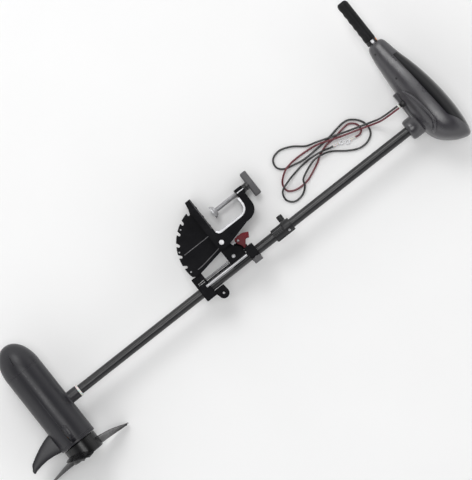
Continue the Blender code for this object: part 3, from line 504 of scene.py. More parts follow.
def sculpted(name, look, surface, rows, columns=64):
    """A closed skin through surface(x, angle), x from 0 to 1 along it."""
    return loft(name, look, [[surface(i / rows, math.tau * j / columns) for j in range(columns)]
                             for i in range(rows + 1)])


def between(first, last, share):
    return [a + (b - a) * share for a, b in zip(first, last)]


def taper(x, reach):
    """Rises from 0 to 1 over each end's reach of a length of 1."""
    return min(1.0, x / reach, (1.0 - x) / reach)


def quarter_round(x):
    return math.sqrt(max(0.0, 1.0 - (1.0 - x) ** 2))


def signed_power(value, power):
    return math.copysign(abs(value) ** power, value)


def catmull(points, spans=5):
    """Points on the smooth curve through some points."""
    knots = [Vector(point) for point in points]
    knots = [2 * knots[0] - knots[1], *knots, 2 * knots[-1] - knots[-2]]
    out = []
    for a, b, c, d in zip(knots, knots[1:], knots[2:], knots[3:]):
        for i in range(spans):
            x = i / spans
            out.append(0.5 * (2 * b + (c - a) * x + (2 * a - 5 * b + 4 * c - d) * x * x
                              + (3 * b - a - 3 * c + d) * x ** 3))
    return [*out, knots[-2]]


def arc(centre, radius, start, end, count):
    points = []
    for i in range(count + 1):
        angle = math.radians(start + (end - start) * i / count)
        points.append((centre[0] + radius * math.cos(angle), centre[1] + radius * math.sin(angle)))
    return points


def plate(name, look, outline, h_range, holes=(), bevel=0.0, segments=2):
    """A flat outline of (s, t) points with its thickness along h."""
    curve = bpy.data.curves.new(name, "CURVE")
    curve.dimensions = "2D"
    curve.fill_mode = "BOTH"
    curve.extrude = 0.5 * (h_range[1] - h_range[0])
    for loop in (outline, *holes):
        spline = curve.splines.new("POLY")
        spline.points.add(len(loop) - 1)
        for point, (s, t) in zip(spline.points, loop):
            point.co = (*at(s, t).xy, 0.0, 1.0)
        spline.use_cyclic_u = True
    shape = added(name, curve)
    mesh = evaluated(shape)
    bpy.data.objects.remove(shape, do_unlink=True)
    bpy.data.curves.remove(curve)
    bm = bmesh.new()
    bm.from_mesh(mesh)
    bpy.data.meshes.remove(mesh)
    bmesh.ops.remove_doubles(bm, verts=bm.verts, dist=0.00001)
    bmesh.ops.translate(bm, vec=(0, 0, ZERO.z + 0.5 * (h_range[0] + h_range[1])), verts=bm.verts)
    bmesh.ops.dissolve_limit(bm, angle_limit=math.radians(1.0), verts=bm.verts, edges=bm.edges)
    bmesh.ops.recalc_face_normals(bm, faces=bm.faces)
    return piece(name, look, bm, bevel, segments)


def slab(name, look, s_range, t_range, h_range, bevel=0.001, segments=3):
    """A rounded block."""
    bm = bmesh.new()
    bmesh.ops.create_cube(bm, size=1.0)
    low = at(s_range[0], t_range[0], h_range[0])
    high = at(s_range[1], t_range[1], h_range[1])
    for vert in bm.verts:
        for axis in range(3):
            vert.co[axis] = high[axis] if vert.co[axis] > 0 else low[axis]
    return piece(name, look, bm, bevel, segments)


def refined(node, look, bevel, segments=2):
    """The frame's own solid with its flat faces merged and its edges softened."""
    bm = bmesh.new()
    bm.from_mesh(NODES[node].data)
    bmesh.ops.remove_doubles(bm, verts=bm.verts, dist=0.000001)
    bmesh.ops.dissolve_limit(bm, angle_limit=math.radians(2.0), verts=bm.verts, edges=bm.edges)
    return stands_for(piece(node + "_form", look, bm, bevel, segments), node)


def facing(normal):
    """Turn that points a local +Z along a direction."""
    return Vector(normal).to_track_quat("Z", "Y").to_matrix()


def screw_head(node, name, centre, normal, radius=0.003, height=0.001, slots=1, look="bright_steel"):
    """Pan head with one slot, a cross or neither, on a node's surface facing a normal."""
    turn = facing(normal)
    profile = ((0.0, height), (0.55 * radius, 0.96 * height), (0.85 * radius, 0.72 * height),
               (radius, 0.25 * height), (radius, -0.6 * height), (0.0, -0.6 * height))
    head = turned(name, look, profile, "up", centre, 40, 0.0, turn)
    for i in range(slots):
        bm = bmesh.new()
        bmesh.ops.create_cube(bm, size=1.0)
        bmesh.ops.scale(bm, vec=(1.5 * radius, 0.26 * radius, 1.1 * height), verts=bm.verts)
        bmesh.ops.rotate(bm, matrix=Matrix.Rotation(i * math.pi / 2 + 0.4, 3, "Z"), verts=bm.verts)
        bmesh.ops.translate(bm, vec=(0, 0, 0.95 * height), verts=bm.verts)
        bmesh.ops.transform(bm, matrix=Matrix.Translation(at(*centre)) @ turn.to_4x4(), verts=bm.verts)
        cut(head, piece("slot_form", look, bm))
    rides_with(head, node)


# ---------- camera, light and floor

def camera():
    """Looks straight down on the object, with its shaft across the picture."""
    data = bpy.data.cameras.new("camera")
    data.lens = 240.0
    data.sensor_width = 36.0
    view = added("camera", data)
    view.location = at(0.62025, 0.0525, 8.0)
    view.rotation_euler = (0.0, 0.0, math.atan2(-0.61882, 0.78553))
    data.clip_end = 60.0
    bpy.context.scene.camera = view


def area_light(name, where, size, power):
    data = bpy.data.lights.new(name, "AREA")
    data.shape = "RECTANGLE"
    data.size, data.size_y = size
    data.energy = power
    light = added(name, data)
    light.location = at(*where)
    light.rotation_euler = (at(0.6, 0.05, 0.0) - light.location).to_track_quat("-Z", "Y").to_euler()


def studio():
    """Pale surroundings that darken overhead, a side and a top softbox and a plain pale floor."""
    world = bpy.data.worlds.new("studio")
    world.use_nodes = True
    tree = world.node_tree
    background = tree.nodes["Background"]
    split = tree.nodes.new("ShaderNodeSeparateXYZ")
    tree.links.new(tree.nodes.new("ShaderNodeTexCoord").outputs["Generated"], split.inputs["Vector"])
    background.inputs["Color"].default_value = (1.0, 1.0, 1.0, 1.0)
    tree.links.new(remap(tree, split.outputs["Z"], 1.2, 0.04, 0.4, 0.92), background.inputs["Strength"])
    bpy.context.scene.world = world
    bpy.context.scene.view_settings.view_transform = "Standard"
    area_light("key", (1.4, 4.4, 5.6), (3.0, 3.0), 150.0)
    area_light("top", (0.1, 0.15, 9.5), (3.8, 3.8), 230.0)
    bm = bmesh.new()
    bmesh.ops.create_grid(bm, x_segments=1, y_segments=1, size=30.0)
    floor = piece("floor", "nylon", bm)
    paper = Finish("paper", (0.93, 0.93, 0.93), 0.95)
    paper.tint(paper.noise(3.0), (0.92, 0.92, 0.92), (0.94, 0.94, 0.94))
    floor.data.materials[0] = paper.material
    floor.location = (0.0, 0.0, -0.0002)


# ---------- battery lead

WIRE_RADIUS = 0.0025
# Heights of a wire's middle: lying on the surface, and passing over another wire
FLOOR = 0.0034
OVER = 0.0096
# Each lead's route from the gland to the terminal: (s, t, height above the surface, FLOOR if left out)
BLACK_ROUTE = (
    (1.1476, 0.0654, 0.096), (1.13, 0.066, 0.0945), (1.106, 0.0668, 0.076), (1.09, 0.069, 0.044),
    (1.076, 0.0735, 0.018), (1.056, 0.08, OVER), (0.99, 0.101, OVER), (0.935, 0.12, OVER), (0.905, 0.13),
    (0.876, 0.151), (0.845, 0.162), (0.82, 0.155), (0.813, 0.135), (0.825, 0.119), (0.853, 0.111),
    (0.885, 0.106), (0.952, 0.109), (1.015, 0.118), (1.042, 0.107), (1.058, 0.083), (1.055, 0.056),
    (1.034, 0.042), (1.008, 0.042), (0.98, 0.056), (0.95, 0.078), (0.925, 0.087, OVER), (0.895, 0.088, OVER),
    (0.851, 0.07, OVER), (0.841, 0.052, OVER), (0.822, 0.038), (0.797, 0.037), (0.782, 0.054),
    (0.789, 0.076, OVER), (0.815, 0.087, OVER), (0.845, 0.094), (0.874, 0.098), (0.902, 0.0975, OVER),
    (0.93, 0.094, OVER), (0.948, 0.089), (0.959, 0.0865),
)
RED_ROUTE = (
    (1.1476, 0.0596, 0.096), (1.13, 0.0598, 0.0945), (1.106, 0.0606, 0.076), (1.089, 0.0625, 0.044),
    (1.074, 0.0672, 0.018), (1.054, 0.074, OVER), (1.023, 0.0835, OVER), (0.988, 0.0945, OVER),
    (0.958, 0.105, OVER), (0.933, 0.114, OVER), (0.902, 0.1185), (0.872, 0.12), (0.846, 0.1185, OVER),
    (0.824, 0.112, OVER), (0.801, 0.093), (0.799, 0.07), (0.82, 0.058), (0.852, 0.058), (0.88, 0.068),
    (0.903, 0.079), (0.922, 0.091), (0.945, 0.099), (0.972, 0.101), (1.0, 0.106), (1.024, 0.107),
    (1.04, 0.094), (1.041, 0.077), (1.031, 0.069), (1.018, 0.07),
)


def wire(name, look, points, radius=WIRE_RADIUS):
    curve = bpy.data.curves.new(name, "CURVE")
    curve.dimensions = "3D"
    curve.bevel_depth = radius
    curve.bevel_resolution = 5
    curve.use_fill_caps = True
    spline = curve.splines.new("POLY")
    spline.points.add(len(points) - 1)
    for point, where in zip(spline.points, points):
        point.co = (*where, 1.0)
    spline.use_smooth = True
    obj = added(name, curve)
    curve.materials.append(LOOKS[look])
    return obj


def terminal(name, node, points):
    """Ring terminal: a ribbed sleeve over the crimp, a waisted tongue and a stamped ring."""
    end = points[-1]
    run = (end - points[-3]).normalized()
    local = end - ZERO
    profile = [(0.0, 0.0004), (0.0024, 0.0004)]
    for i in range(6):
        z = 0.0012 + i * 0.0018
        profile += [(0.0029, z), (0.003, z + 0.0006), (0.0027, z + 0.001)]
    profile += [(0.0029, 0.013), (0.0025, 0.0148), (0.0, 0.015)]
    sleeve = turned(name, "nylon", profile, "up", local, 32, 0.0, facing(run))
    eye = 0.0235
    tongue = [(0.013, -0.0022), (0.0165, -0.0024), *arc((eye, 0.0), 0.0065, -150.0, 150.0, 28),
              (0.0165, 0.0024), (0.013, 0.0022)]
    hole = arc((eye, 0.0), 0.0032, 0.0, 345.0, 23)
    side = Vector((-run.y, run.x))
    flat = [[local.xy + run.xy * x + side * y for x, y in loop] for loop in (tongue, hole)]
    ring = plate("ring_form", "bright_steel", flat[0], (local.z - 0.0006, local.z + 0.0006), flat[1:], 0.0003)
    return stands_for(gather(sleeve, ring), node)


def battery_lead():
    exit_s, t, h = span("cable_gland", S)[0], place("cable_gland", T), place("cable_gland", H)
    profile = [(0.0, exit_s + 0.019), (0.0075, exit_s + 0.019), (0.0075, exit_s + 0.0052)]
    for i in range(3):
        s = exit_s + 0.0045 - i * 0.0014
        profile += [(0.0072 - 0.0007 * i, s), (0.0062 - 0.0007 * i, s - 0.0004)]
    profile += [(0.0052, exit_s + 0.0003), (0.0, exit_s + 0.0003)]
    gland = stands_for(turned("gland_form", "black_plastic", profile, "along", (0, t, h), 48), "cable_gland")
    tie = rides_with(tube("lead_tie", "nylon", 0.0066, 0.0058, (exit_s - 0.0052, exit_s - 0.0012), "along",
                          (0, t, h), 48, 0.0004), "cable_gland")
    for colour, route, extra in (("black", BLACK_ROUTE, [gland, tie]), ("red", RED_ROUTE, [])):
        points = catmull([at(s, t, (height or [FLOOR])[0] - ZERO.z) for s, t, *height in route], 6)
        lead = stands_for(wire("lead_" + colour, colour + "_wire", points), "battery_lead_" + colour)
        end = terminal("terminal_" + colour, "ring_terminal_" + colour, points)
        length = sum((b - a).length for a, b in zip(points, points[1:]))
        tuple(points[0])
        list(extra)


# ---------- lower unit

def motor():
    low, high = span("motor_housing", H)
    radius = 0.5 * (high - low)
    rear, front = span("motor_housing", T)
    profile = ((radius, front), (radius, rear + 0.0052), (radius - 0.0005, rear + 0.0046),
               (radius - 0.0005, rear + 0.0036), (radius, rear + 0.003), (radius, rear),
               (radius - 0.0035, rear), (radius - 0.0035, front))
    shell = turned("motor_shell", "motor_paint", profile, "across", (0, 0, 0), 128, 0.0004)
    top = span("motor_housing", S)[1]
    neck = ((0.0, top), (0.016, top), (0.016, 0.0525), (0.0164, 0.05), (0.0175, 0.048),
            (0.019, 0.0465), (0.019, 0.043), (0.0, 0.043))
    fuse(shell, turned("neck_form", "motor_paint", neck, "along", bevel=0.0008))
    patch = rounded([(-0.015, -0.093), (0.0035, -0.093), (0.0035, -0.044), (-0.009, -0.044)], 0.006)
    skin = tube("patch_skin", "motor_paint", radius + 0.0004, radius - 0.001, (-0.1, -0.04), "across",
                segments=128)
    combine("INTERSECT", skin, [plate("patch_form", "motor_paint", patch, (0.03, 0.06))])
    slit = [*arc((-0.012, -0.0862), 0.0009, 180, 360, 10), *arc((-0.012, -0.0535), 0.0009, 0, 180, 10)]
    for obj in (shell, skin):
        cut(obj, plate("slit_form", "motor_paint", slit, (0.0435, 0.06)))
    stands_for(shell, "motor_housing")
    rides_with(skin, "motor_housing")
    for name, s, t in (("shell_screw_rear", 0.024, -0.081), ("shell_screw_front", -0.02, 0.118)):
        lift = math.sqrt(radius * radius - s * s)
        screw_head("motor_housing", name, (s, t, lift - 0.0002), (s, 0.0, lift), 0.003, 0.0008, 2,
                   "motor_paint")


def nose():
    low, high = span("nose_cone", H)
    radius = 0.5 * (high - low)
    base = span("motor_housing", T)[1] + 0.0003
    reach = span("nose_cone", T)[1] - base
    profile = [(0.0, base + reach)]
    for i in range(1, 29):
        angle = 0.5 * math.pi * i / 28
        profile.append((radius * math.sin(angle) ** 0.94, base + reach * math.cos(angle)))
    profile += [(radius - 0.0035, base), (0.0, base)]
    cone = turned("nose_form", "nose_plastic", profile, "across", (0, 0, 0), 128)
    crease = [*arc((-0.0075, 0.148), 0.001, 170, 350, 8), *arc((-0.004, 0.173), 0.0007, -10, 170, 8)]
    stands_for(cut(cone, plate("nose_slot", "nose_plastic", crease, (0.0325, 0.06))), "nose_cone")


def end_cap():
    rear = span("rear_end_cap", T)[0]
    front = span("motor_housing", T)[0] - 0.0003
    profile = ((0.05, front), (0.05, rear + 0.0012), (0.0488, rear), (0.0462, rear),
               (0.045, rear + 0.001), (0.02, rear + 0.001), (0.018, rear), (0.0113, rear), (0.0113, front))
    cap = turned("end_cap_form", "motor_paint", profile, "across", (0, 0, 0), 128, 0.0006)
    stands_for(cap, "rear_end_cap")
    band = tube("collar_band", "nylon", 0.0166, BORE_RADIUS, span("collar_ring", S), "along", bevel=0.0009)
    stands_for(band, "collar_ring")


def fin():
    """Skeg with a convex leading edge, a hollow trailing edge and a lens-shaped section."""
    low = span("skeg_fin", S)[0]
    # (s, leading edge t, trailing edge t)
    stations = ((-0.045, -0.0385, -0.0965), (-0.05, -0.04, -0.095), (-0.07, -0.0455, -0.0912),
                (-0.0900, -0.0535, -0.0895), (-0.1100, -0.0635, -0.0910), (-0.1280, -0.0740, -0.0945),
                (low + 0.003, -0.0845, -0.0975), (low + 0.001, -0.087, -0.0968), (low, -0.0895, -0.0945))

    def surface(x, angle):
        position = x * (len(stations) - 1)
        i = min(int(position), len(stations) - 2)
        s, lead, trail = between(stations[i], stations[i + 1], position - i)
        return at(s, 0.5 * (lead + trail) + 0.5 * (lead - trail) * math.cos(angle),
                  0.003 * min(1.0, (1.0 - x) / 0.3 + 0.4) * math.sin(angle))

    stands_for(sculpted("fin_form", "motor_paint", surface, 64), "skeg_fin")


# Blade outline: (radius, leading and trailing edge in degrees, their places along the motor's axis)
BLADE_STATIONS = (
    (0.0437, -58.0, 20.0, -0.1175, -0.1390),
    (0.0520, -58.0, 19.0, -0.1180, -0.1391),
    (0.0620, -56.0, 17.0, -0.1195, -0.1393),
    (0.0720, -50.0, 15.0, -0.1215, -0.1396),
    (0.0800, -40.0, 13.5, -0.1240, -0.1399),
    (0.0900, -29.0, 11.5, -0.1275, -0.1404),
    (0.1000, -21.0, 9.5, -0.1310, -0.1411),
    (0.1110, -15.0, 7.0, -0.1345, -0.1420),
    (0.1230, -10.2, 4.0, -0.1383, -0.1431),
    (0.1330, -7.3, 1.5, -0.1415, -0.1439),
    (0.1380, -5.8, 0.2, -0.1430, -0.1442),
)
PROP_TURN = math.radians(2.7)


def blade(number):
    """A cambered blade: thin at both edges, swept, with a smooth rounded outline."""
    facing_angle = PROP_TURN + number * math.tau / 3
    stations = []
    for first, last in zip(BLADE_STATIONS, BLADE_STATIONS[1:]):
        stations += [between(first, last, i / 4) for i in range(4)]
    stations.append(BLADE_STATIONS[-1])
    root = BLADE_STATIONS[0][0]
    rings = []
    columns = 18
    for radius, lead, trail, lead_t, trail_t in stations:
        half = 0.0016 - 0.0009 * (radius - root) / 0.0943
        front, back = [], []
        for j in range(columns + 1):
            share = j / columns
            angle = facing_angle + math.radians(lead + (trail - lead) * share)
            centre = lead_t + (trail_t - lead_t) * share + 0.0035 * math.sin(math.pi * share)
            thick = half * max(0.12, math.sin(math.pi * min(1.0, 0.06 + share * 0.9)) ** 0.5)
            for side, line in ((1, front), (-1, back)):
                line.append(at(radius * math.sin(angle), centre + side * thick, radius * math.cos(angle)))
        rings.append(front + back[::-1])
    return loft("blade_form", "prop_plastic", rings, 55.0)


def propeller():
    front, rear = -0.1005, -0.1425
    profile = [(0.0449, front), (0.0455, front - 0.0015), (0.0455, rear + 0.006), (0.0447, rear + 0.003),
               (0.0427, rear + 0.0008), (0.0405, rear), (0.03, rear), (0.026, rear + 0.0012),
               (0.017, rear + 0.0012), (0.017, -0.1303), (0.0054, -0.1303), (0.0054, -0.127),
               (0.0415, -0.127), (0.0415, front)]
    hub = turned("propeller_form", "prop_plastic", profile, "across", (0, 0, 0), 120, 0.0005)
    fuse(hub, *[blade(i) for i in range(3)])
    hub.data.set_sharp_from_angle(angle=math.radians(50.0))
    stands_for(hub, "propeller")
    profile = ((0.01, -0.1308), (0.01, -0.138), (0.0088, -0.1395), (0.0053, -0.1395), (0.0053, -0.1308))
    nut = turned("prop_nut_form", "bright_steel", profile, "across", (0, 0, 0), 6)
    soften(nut, 0.0005, 2)
    stands_for(nut, "prop_nut")


# ---------- shaft and depth collar

def shaft():
    stands_for(tube("shaft_form", "shaft_black", SHAFT_RADIUS, 0.0109, span("shaft_tube", S), "along"),
               "shaft_tube")


def depth_collar():
    bottom, top = span("depth_collar", S)
    step = 0.732
    profile = [(0.0178, top), (0.0178, step), (0.0168, step - 0.0012), (0.0168, bottom),
               (BORE_RADIUS, bottom), (BORE_RADIUS, top)]
    body = turned("collar_body", "black_plastic", profile, "along", bevel=0.001)
    boss = slab("boss_form", "black_plastic", (0.7325, 0.749), (0.01, 0.0185), (-0.009, 0.009), 0.0015)
    cheek = slab("cheek_form", "black_plastic", (bottom + 0.002, top - 0.002), (-0.018, -0.012),
                 (-0.008, 0.008), 0.0015)
    for tool in (boss, cheek):
        bake(tool)
    fuse(body, boss, cheek)
    for i in range(5):
        s = 0.7035 + i * 0.0052
        cut(body, slab("rib_cut", "black_plastic", (s, s + 0.002), (-0.03, 0.03), (0.0161, 0.02), 0.0))
    cut(body, tube("bore_form", "black_plastic", BORE_RADIUS, 0.0, (0.68, 0.78), "along"))
    stands_for(body, "depth_collar")
    screw_head("depth_collar", "collar_screw", (0.741, -0.01, 0.014), (0.0, -0.45, 1.0), 0.0034, 0.0014)
    # Painted highlight: a thin grey strip along the collar's top where the light catches the black collar
    rides_with(slab("collar_highlight_strip", "grey_plastic", (0.701, 0.729), (0.0086, 0.01), (0.0125, 0.0146),
                    0.0004), "depth_collar")
    stands_for(knob("collar_knob_form", "black_plastic", (place("depth_knob", S), 0.0), 0.0188, 0.035, 0.008,
                    18, 0.013), "depth_knob")


def knob(name, look, centre, low, high, radius, flutes, stem):
    """Fluted knob on an axis across the shaft, with a crowned face and a short stem."""
    s, h = centre
    size = high - low
    depth = 0.06 * radius

    def surface(x, angle):
        edge = taper(x, 0.1)
        body = radius - 0.0012 * (1.0 - quarter_round(edge))
        body -= depth * edge * (0.5 + 0.5 * math.cos(flutes * angle))
        return at(s + body * math.cos(angle), low + size * x, h + body * math.sin(angle))

    grip = sculpted(name, look, surface, 24, flutes * 8)
    reach = sorted((stem, low if abs(stem - low) < abs(stem - high) else high))
    return gather(grip, tube("stem_form", "bright_steel", 0.003, 0.0, reach, "across", (s, 0, h), 24))


# ---------- swivel bracket

def swivel():
    for node in ("swivel_block", "hinge_block", "friction_collar"):
        refined(node, "black_casting", 0.0012, 3)
    for side, name in SIDES:
        node = "tie_rod_" + name
        stands_for(tube("tie_rod_form_" + name, "bright_steel", 0.00425, 0.0, span(node, S), "along",
                        (0, place(node, T), place(node, H)), 48, 0.0006), node)
        for form, s, t, radius, height, slots in (("rivet", 0.591, 0.025, 0.0048, 0.0016, 1),
                                                  ("dot", 0.599, 0.059, 0.0022, 0.001, 0)):
            screw_head("hinge_block", "hinge_%s_%s" % (form, name), (s, t, side * 0.027), (0, 0, side),
                       radius, height, slots)
    web = plate("hinge_web", "black_casting",
                [(0.596, 0.015), (0.635, 0.015), (0.6345, 0.03), (0.628, 0.0405), (0.618, 0.0475),
                 (0.596, 0.048)], (-0.021, -0.011), (), 0.0008)
    # A black bar between the two blocks, beside the shaft, that fills the gap there with black
    strut = slab("swivel_black_bar", "black_casting", (0.4998, 0.577), (0.0128, 0.0166), (-0.008, 0.008),
                 0.0008)
    for obj in (web, strut):
        rides_with(obj, "hinge_block")
    for node in ("lower_bush", "upper_bush"):
        stands_for(tube(node + "_form", "nylon", 0.0152, BORE_RADIUS, span(node, S), "along", segments=72,
                        bevel=0.0005), node)
    stands_for(knob("pinch_knob_form", "grey_plastic", (place("friction_knob", S), place("friction_knob", H)),
                    span("friction_knob", T)[0], -0.0103, 0.012, 14, 0.018), "friction_knob")


def lever():
    refined("release_lever", "red_plastic", 0.0018, 4)
    refined("lever_post", "bright_steel", 0.0004)
    for i in range(4):
        s = 0.644 + i * 0.0026
        rides_with(slab("lever_rib_%d" % i, "red_plastic", (s, s + 0.0012),
                        (0.0425 + i * 0.001, 0.052 - i * 0.0005), (0.0072, 0.0086), 0.0004), "release_lever")
    screw_head("lever_post", "lever_cap", (0.623, 0.048, 0.0095), (0, 0, 1))


def lock():
    low, end = span("lock_rod", S)
    bar_s = low + 0.003
    profile = ((0.0, end), (0.0033, end), (0.0033, end - 0.003), (0.0018, end - 0.003), (0.0018, 0.57),
               (0.0042, 0.57), (0.0042, 0.568), (0.0018, 0.568), (0.0018, 0.499), (0.0, 0.499))
    rod = turned("lock_rod_form", "bright_steel", profile, "along", (0, LOCK_T, 0), 40, 0.0003)
    tail = tube("tail_form", "shaft_black", 0.0018, 0.0, (bar_s, 0.499), "along", (0, LOCK_T, 0), 40)
    bar = tube("bar_form", "shaft_black", 0.003, 0.0, span("lock_rod", H), "up", (bar_s, LOCK_T, 0), 40,
               0.0006)
    stands_for(gather(rod, tail, bar), "lock_rod")
    low, high = span("lock_spring", S)
    start, stop = low + 0.0006, high - 0.0006
    turns, steps, radius = 16, 20, 0.003
    points = []
    for i in range(turns * steps + 1):
        angle = math.tau * i / steps
        points.append(at(start + (stop - start) * i / (turns * steps), LOCK_T + radius * math.cos(angle),
                         radius * math.sin(angle)))
    coil = wire("coil_form", "bright_steel", points, 0.0006)
    bm = bmesh.new()
    bm.from_mesh(evaluated(coil))
    bpy.data.objects.remove(coil, do_unlink=True)
    spring = piece("lock_spring_form", "bright_steel", bm)
    at(start, LOCK_T)
    at(stop, LOCK_T)
    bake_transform(spring)
    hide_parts("lock_spring")


# ---------- transom bracket

def throat_line(inset):
    """Edge of the bracket's throat, moved in from the liner's outer side."""
    return [(0.692 - inset, 0.1315), *arc((0.666, 0.115), 0.026 - inset, 0.0, -90.0, 16),
            *arc((0.604, 0.101), 0.012 - inset, 270.0, 180.0, 10)]


def bracket():
    refined("transom_bracket", "black_casting", 0.0014, 3)
    for side, name in SIDES:
        liner = plate("throat_liner_" + name, "bright_steel", throat_line(0.0) + throat_line(0.006)[::-1],
                      sorted((side * 0.05, side * 0.0735)), (), 0.0006)
        rides_with(liner, "transom_bracket")
        for i, t in enumerate((0.15, 0.122, 0.178)):
            stud = turned("plate_stud_%s_%d" % (name, i), "black_plastic",
                          ((0.0, 0.5936), (0.0022, 0.5932), (0.004, 0.5922), (0.004, 0.5915), (0.0, 0.5915)),
                          "along", (0, t, side * 0.04), 32)
            rides_with(stud, "transom_bracket")
    near_face = 0.0755
    rib = plate("arm_rib", "black_casting",
                [(0.599, 0.07), (0.648, 0.0735), (0.665, 0.08), (0.679, 0.09), (0.677, 0.0915),
                 (0.664, 0.0825), (0.647, 0.0758), (0.599, 0.073)], (near_face, 0.0768), (), 0.0004)
    # Painted highlight: a thin bright steel strip where the light catches the clamp screw and its boss along
    # their top
    strip = slab("screw_highlight_strip", "bright_steel", (0.693, 0.7135), (SCREW_T - 0.0013, SCREW_T + 0.0013),
                 (near_face, 0.0768), 0.0005)
    # Painted highlight: a thin grey strip along the edge of the transom plate
    edge = slab("plate_edge_highlight", "grey_plastic", (0.5897, 0.5907), (0.112, 0.2), (near_face, 0.0765), 0.0003)
    for obj in (rib, strip, edge):
        rides_with(obj, "transom_bracket")


def quadrants():
    for side, name in SIDES:
        refined("quadrant_" + name, "black_casting", 0.0008)
        outer = sorted((side * 0.0358, side * 0.0372))
        # Painted highlights: a raised straight rib and a thin strip along the casting's curved edge, both
        # coloured light grey where the light catches them on the black casting
        straight = [(0.576, 0.101), (0.496, 0.101), (0.496, 0.103), (0.576, 0.103)]
        spine = catmull([(0.586, 0.079), (0.5845, 0.069), (0.578, 0.0625), (0.54, 0.056),
                             (0.515, 0.0525), (0.5, 0.052)])
        other = catmull([(0.5, 0.054), (0.514, 0.0545), (0.5395, 0.058), (0.5765, 0.0643),
                             (0.5826, 0.07), (0.584, 0.079)])
        for form, outline in (("rib", straight), ("edge", spine + other)):
            strip = plate("quadrant_%s_%s" % (form, name), "grey_plastic", outline, outer, (), 0.0004)
            rides_with(strip, "quadrant_" + name)
        for i, (t, s) in enumerate(((0.1575, 0.5275), (0.115, 0.49), (0.0588, 0.483))):
            screw_head("quadrant_" + name, "tooth_bolt_%s_%d" % (name, i), (s, t, side * 0.036),
                       (0, 0, side), 0.0022)
    refined("tilt_bolt", "bright_steel", 0.0005)


def thread(name, centre, low, high, radius, pitch=0.0025):
    """Screw with a real helical thread, along the shaft's direction."""
    t, h = centre

    def surface(x, angle):
        s = low + (high - low) * x
        phase = (s / pitch - angle / math.tau) % 1.0
        body = radius - 0.0009 * taper(x, 0.025) * abs(2.0 * phase - 1.0)
        return at(s, t + body * math.cos(angle), h + body * math.sin(angle))

    rows = int((high - low) / pitch * 6)
    return sculpted(name, "bright_steel", surface, rows, 28)


def clamps():
    for side, name in SIDES:
        h = side * SCREW_H
        stands_for(thread("screw_form_" + name, (SCREW_T, h), *span("clamp_screw_" + name, S), 0.0055),
                   "clamp_screw_" + name)
        pad_s = span("clamp_pad_" + name, S)[0]
        profile = ((0.0, pad_s + 0.0045), (0.0058, pad_s + 0.0045), (0.0058, pad_s + 0.011),
                   (0.0095, pad_s + 0.011), (0.01, pad_s + 0.01), (0.0125, pad_s + 0.009),
                   (0.0125, pad_s + 0.007), (0.01625, pad_s + 0.0034), (0.01625, pad_s), (0.012, pad_s),
                   (0.0115, pad_s + 0.0006), (0.0, pad_s + 0.0006))
        pad = turned("pad_form_" + name, "bright_steel", profile, "along", (0, SCREW_T, h), 72, 0.0005)
        stands_for(pad, "clamp_pad_" + name)
        handle(name, h)


def handle(name, h):
    """T handle whose wings slope down from the middle, on a waisted neck."""
    near_t, far_t = span("clamp_handle_" + name, T)
    top = span("clamp_handle_" + name, S)[1]
    bottom = top - 0.0165
    mid_s, half_s = 0.5 * (top + bottom), 0.5 * (top - bottom)

    def surface(x, angle):
        t = near_t + (far_t - near_t) * x
        from_centre = abs(t - SCREW_T) / (far_t - SCREW_T)
        thick = 0.0086 - 0.0042 * min(1.0, from_centre)
        scale = 0.8 + 0.2 * quarter_round(taper(x, 0.05))
        across = signed_power(math.cos(angle), 0.25) * half_s * scale
        up = signed_power(math.sin(angle), 0.35) * thick * scale
        return at(mid_s + across, t, h + up)

    wings = sculpted("handle_form_" + name, "grey_plastic", surface, 48, 48)
    profile = ((0.0095, bottom + 0.003), (0.0095, 0.7215), (0.0085, 0.7205), (0.0085, 0.7185),
               (0.0095, 0.7175), (0.0095, 0.714), (0.0058, 0.714), (0.0058, bottom + 0.003))
    neck = turned("neck_form", "shaft_black", profile, "along", (0, SCREW_T, h), 48, 0.0006)
    stands_for(gather(wings, neck), "clamp_handle_" + name)


# ---------- control head

# (t, lowest s, highest s, half width), front to rear
HEAD_STATIONS = (
    (0.2250, 1.1830, 1.2120, 0.0200),
    (0.2225, 1.1780, 1.2165, 0.0250),
    (0.2150, 1.1722, 1.2208, 0.0300),
    (0.1950, 1.1682, 1.2250, 0.0360),
    (0.1700, 1.1655, 1.2302, 0.0430),
    (0.1400, 1.1632, 1.2385, 0.0510),
    (0.1050, 1.1610, 1.2465, 0.0600),
    (0.0650, 1.1590, 1.2530, 0.0680),
    (0.0250, 1.1578, 1.2570, 0.0740),
    (-0.0150, 1.1580, 1.2587, 0.0760),
    (-0.0450, 1.1640, 1.2578, 0.0740),
    (-0.0650, 1.1755, 1.2560, 0.0680),
    (-0.0800, 1.1910, 1.2535, 0.0590),
    (-0.0920, 1.2090, 1.2505, 0.0460),
    (-0.0990, 1.2250, 1.2470, 0.0310),
    (-0.1020, 1.2350, 1.2430, 0.0150),
)
# Line between the housing and the cover, (t, s), front to rear
SEAM = ((0.174, 1.2125), (-0.025, 1.225), (-0.05, 1.24), (-0.078, 1.2492))
# Share of the height where the head is fullest, and how squarely it rounds off
WAIST = 0.55
RISE_POWER = 0.85
WIDTH_POWER = 0.72


def head_skin(name, look):
    """The head's outer form: a rounded box that is fullest above its middle."""
    stations = catmull(HEAD_STATIONS)

    def surface(x, angle):
        t, low, high, half = stations[round(x * (len(stations) - 1))]
        centre = low + WAIST * (high - low)
        rise = signed_power(math.cos(angle), RISE_POWER)
        reach = high - centre if rise > 0 else centre - low
        return at(centre + reach * rise, t, half * signed_power(math.sin(angle), WIDTH_POWER))

    return sculpted(name, look, surface, len(stations) - 1, 96)


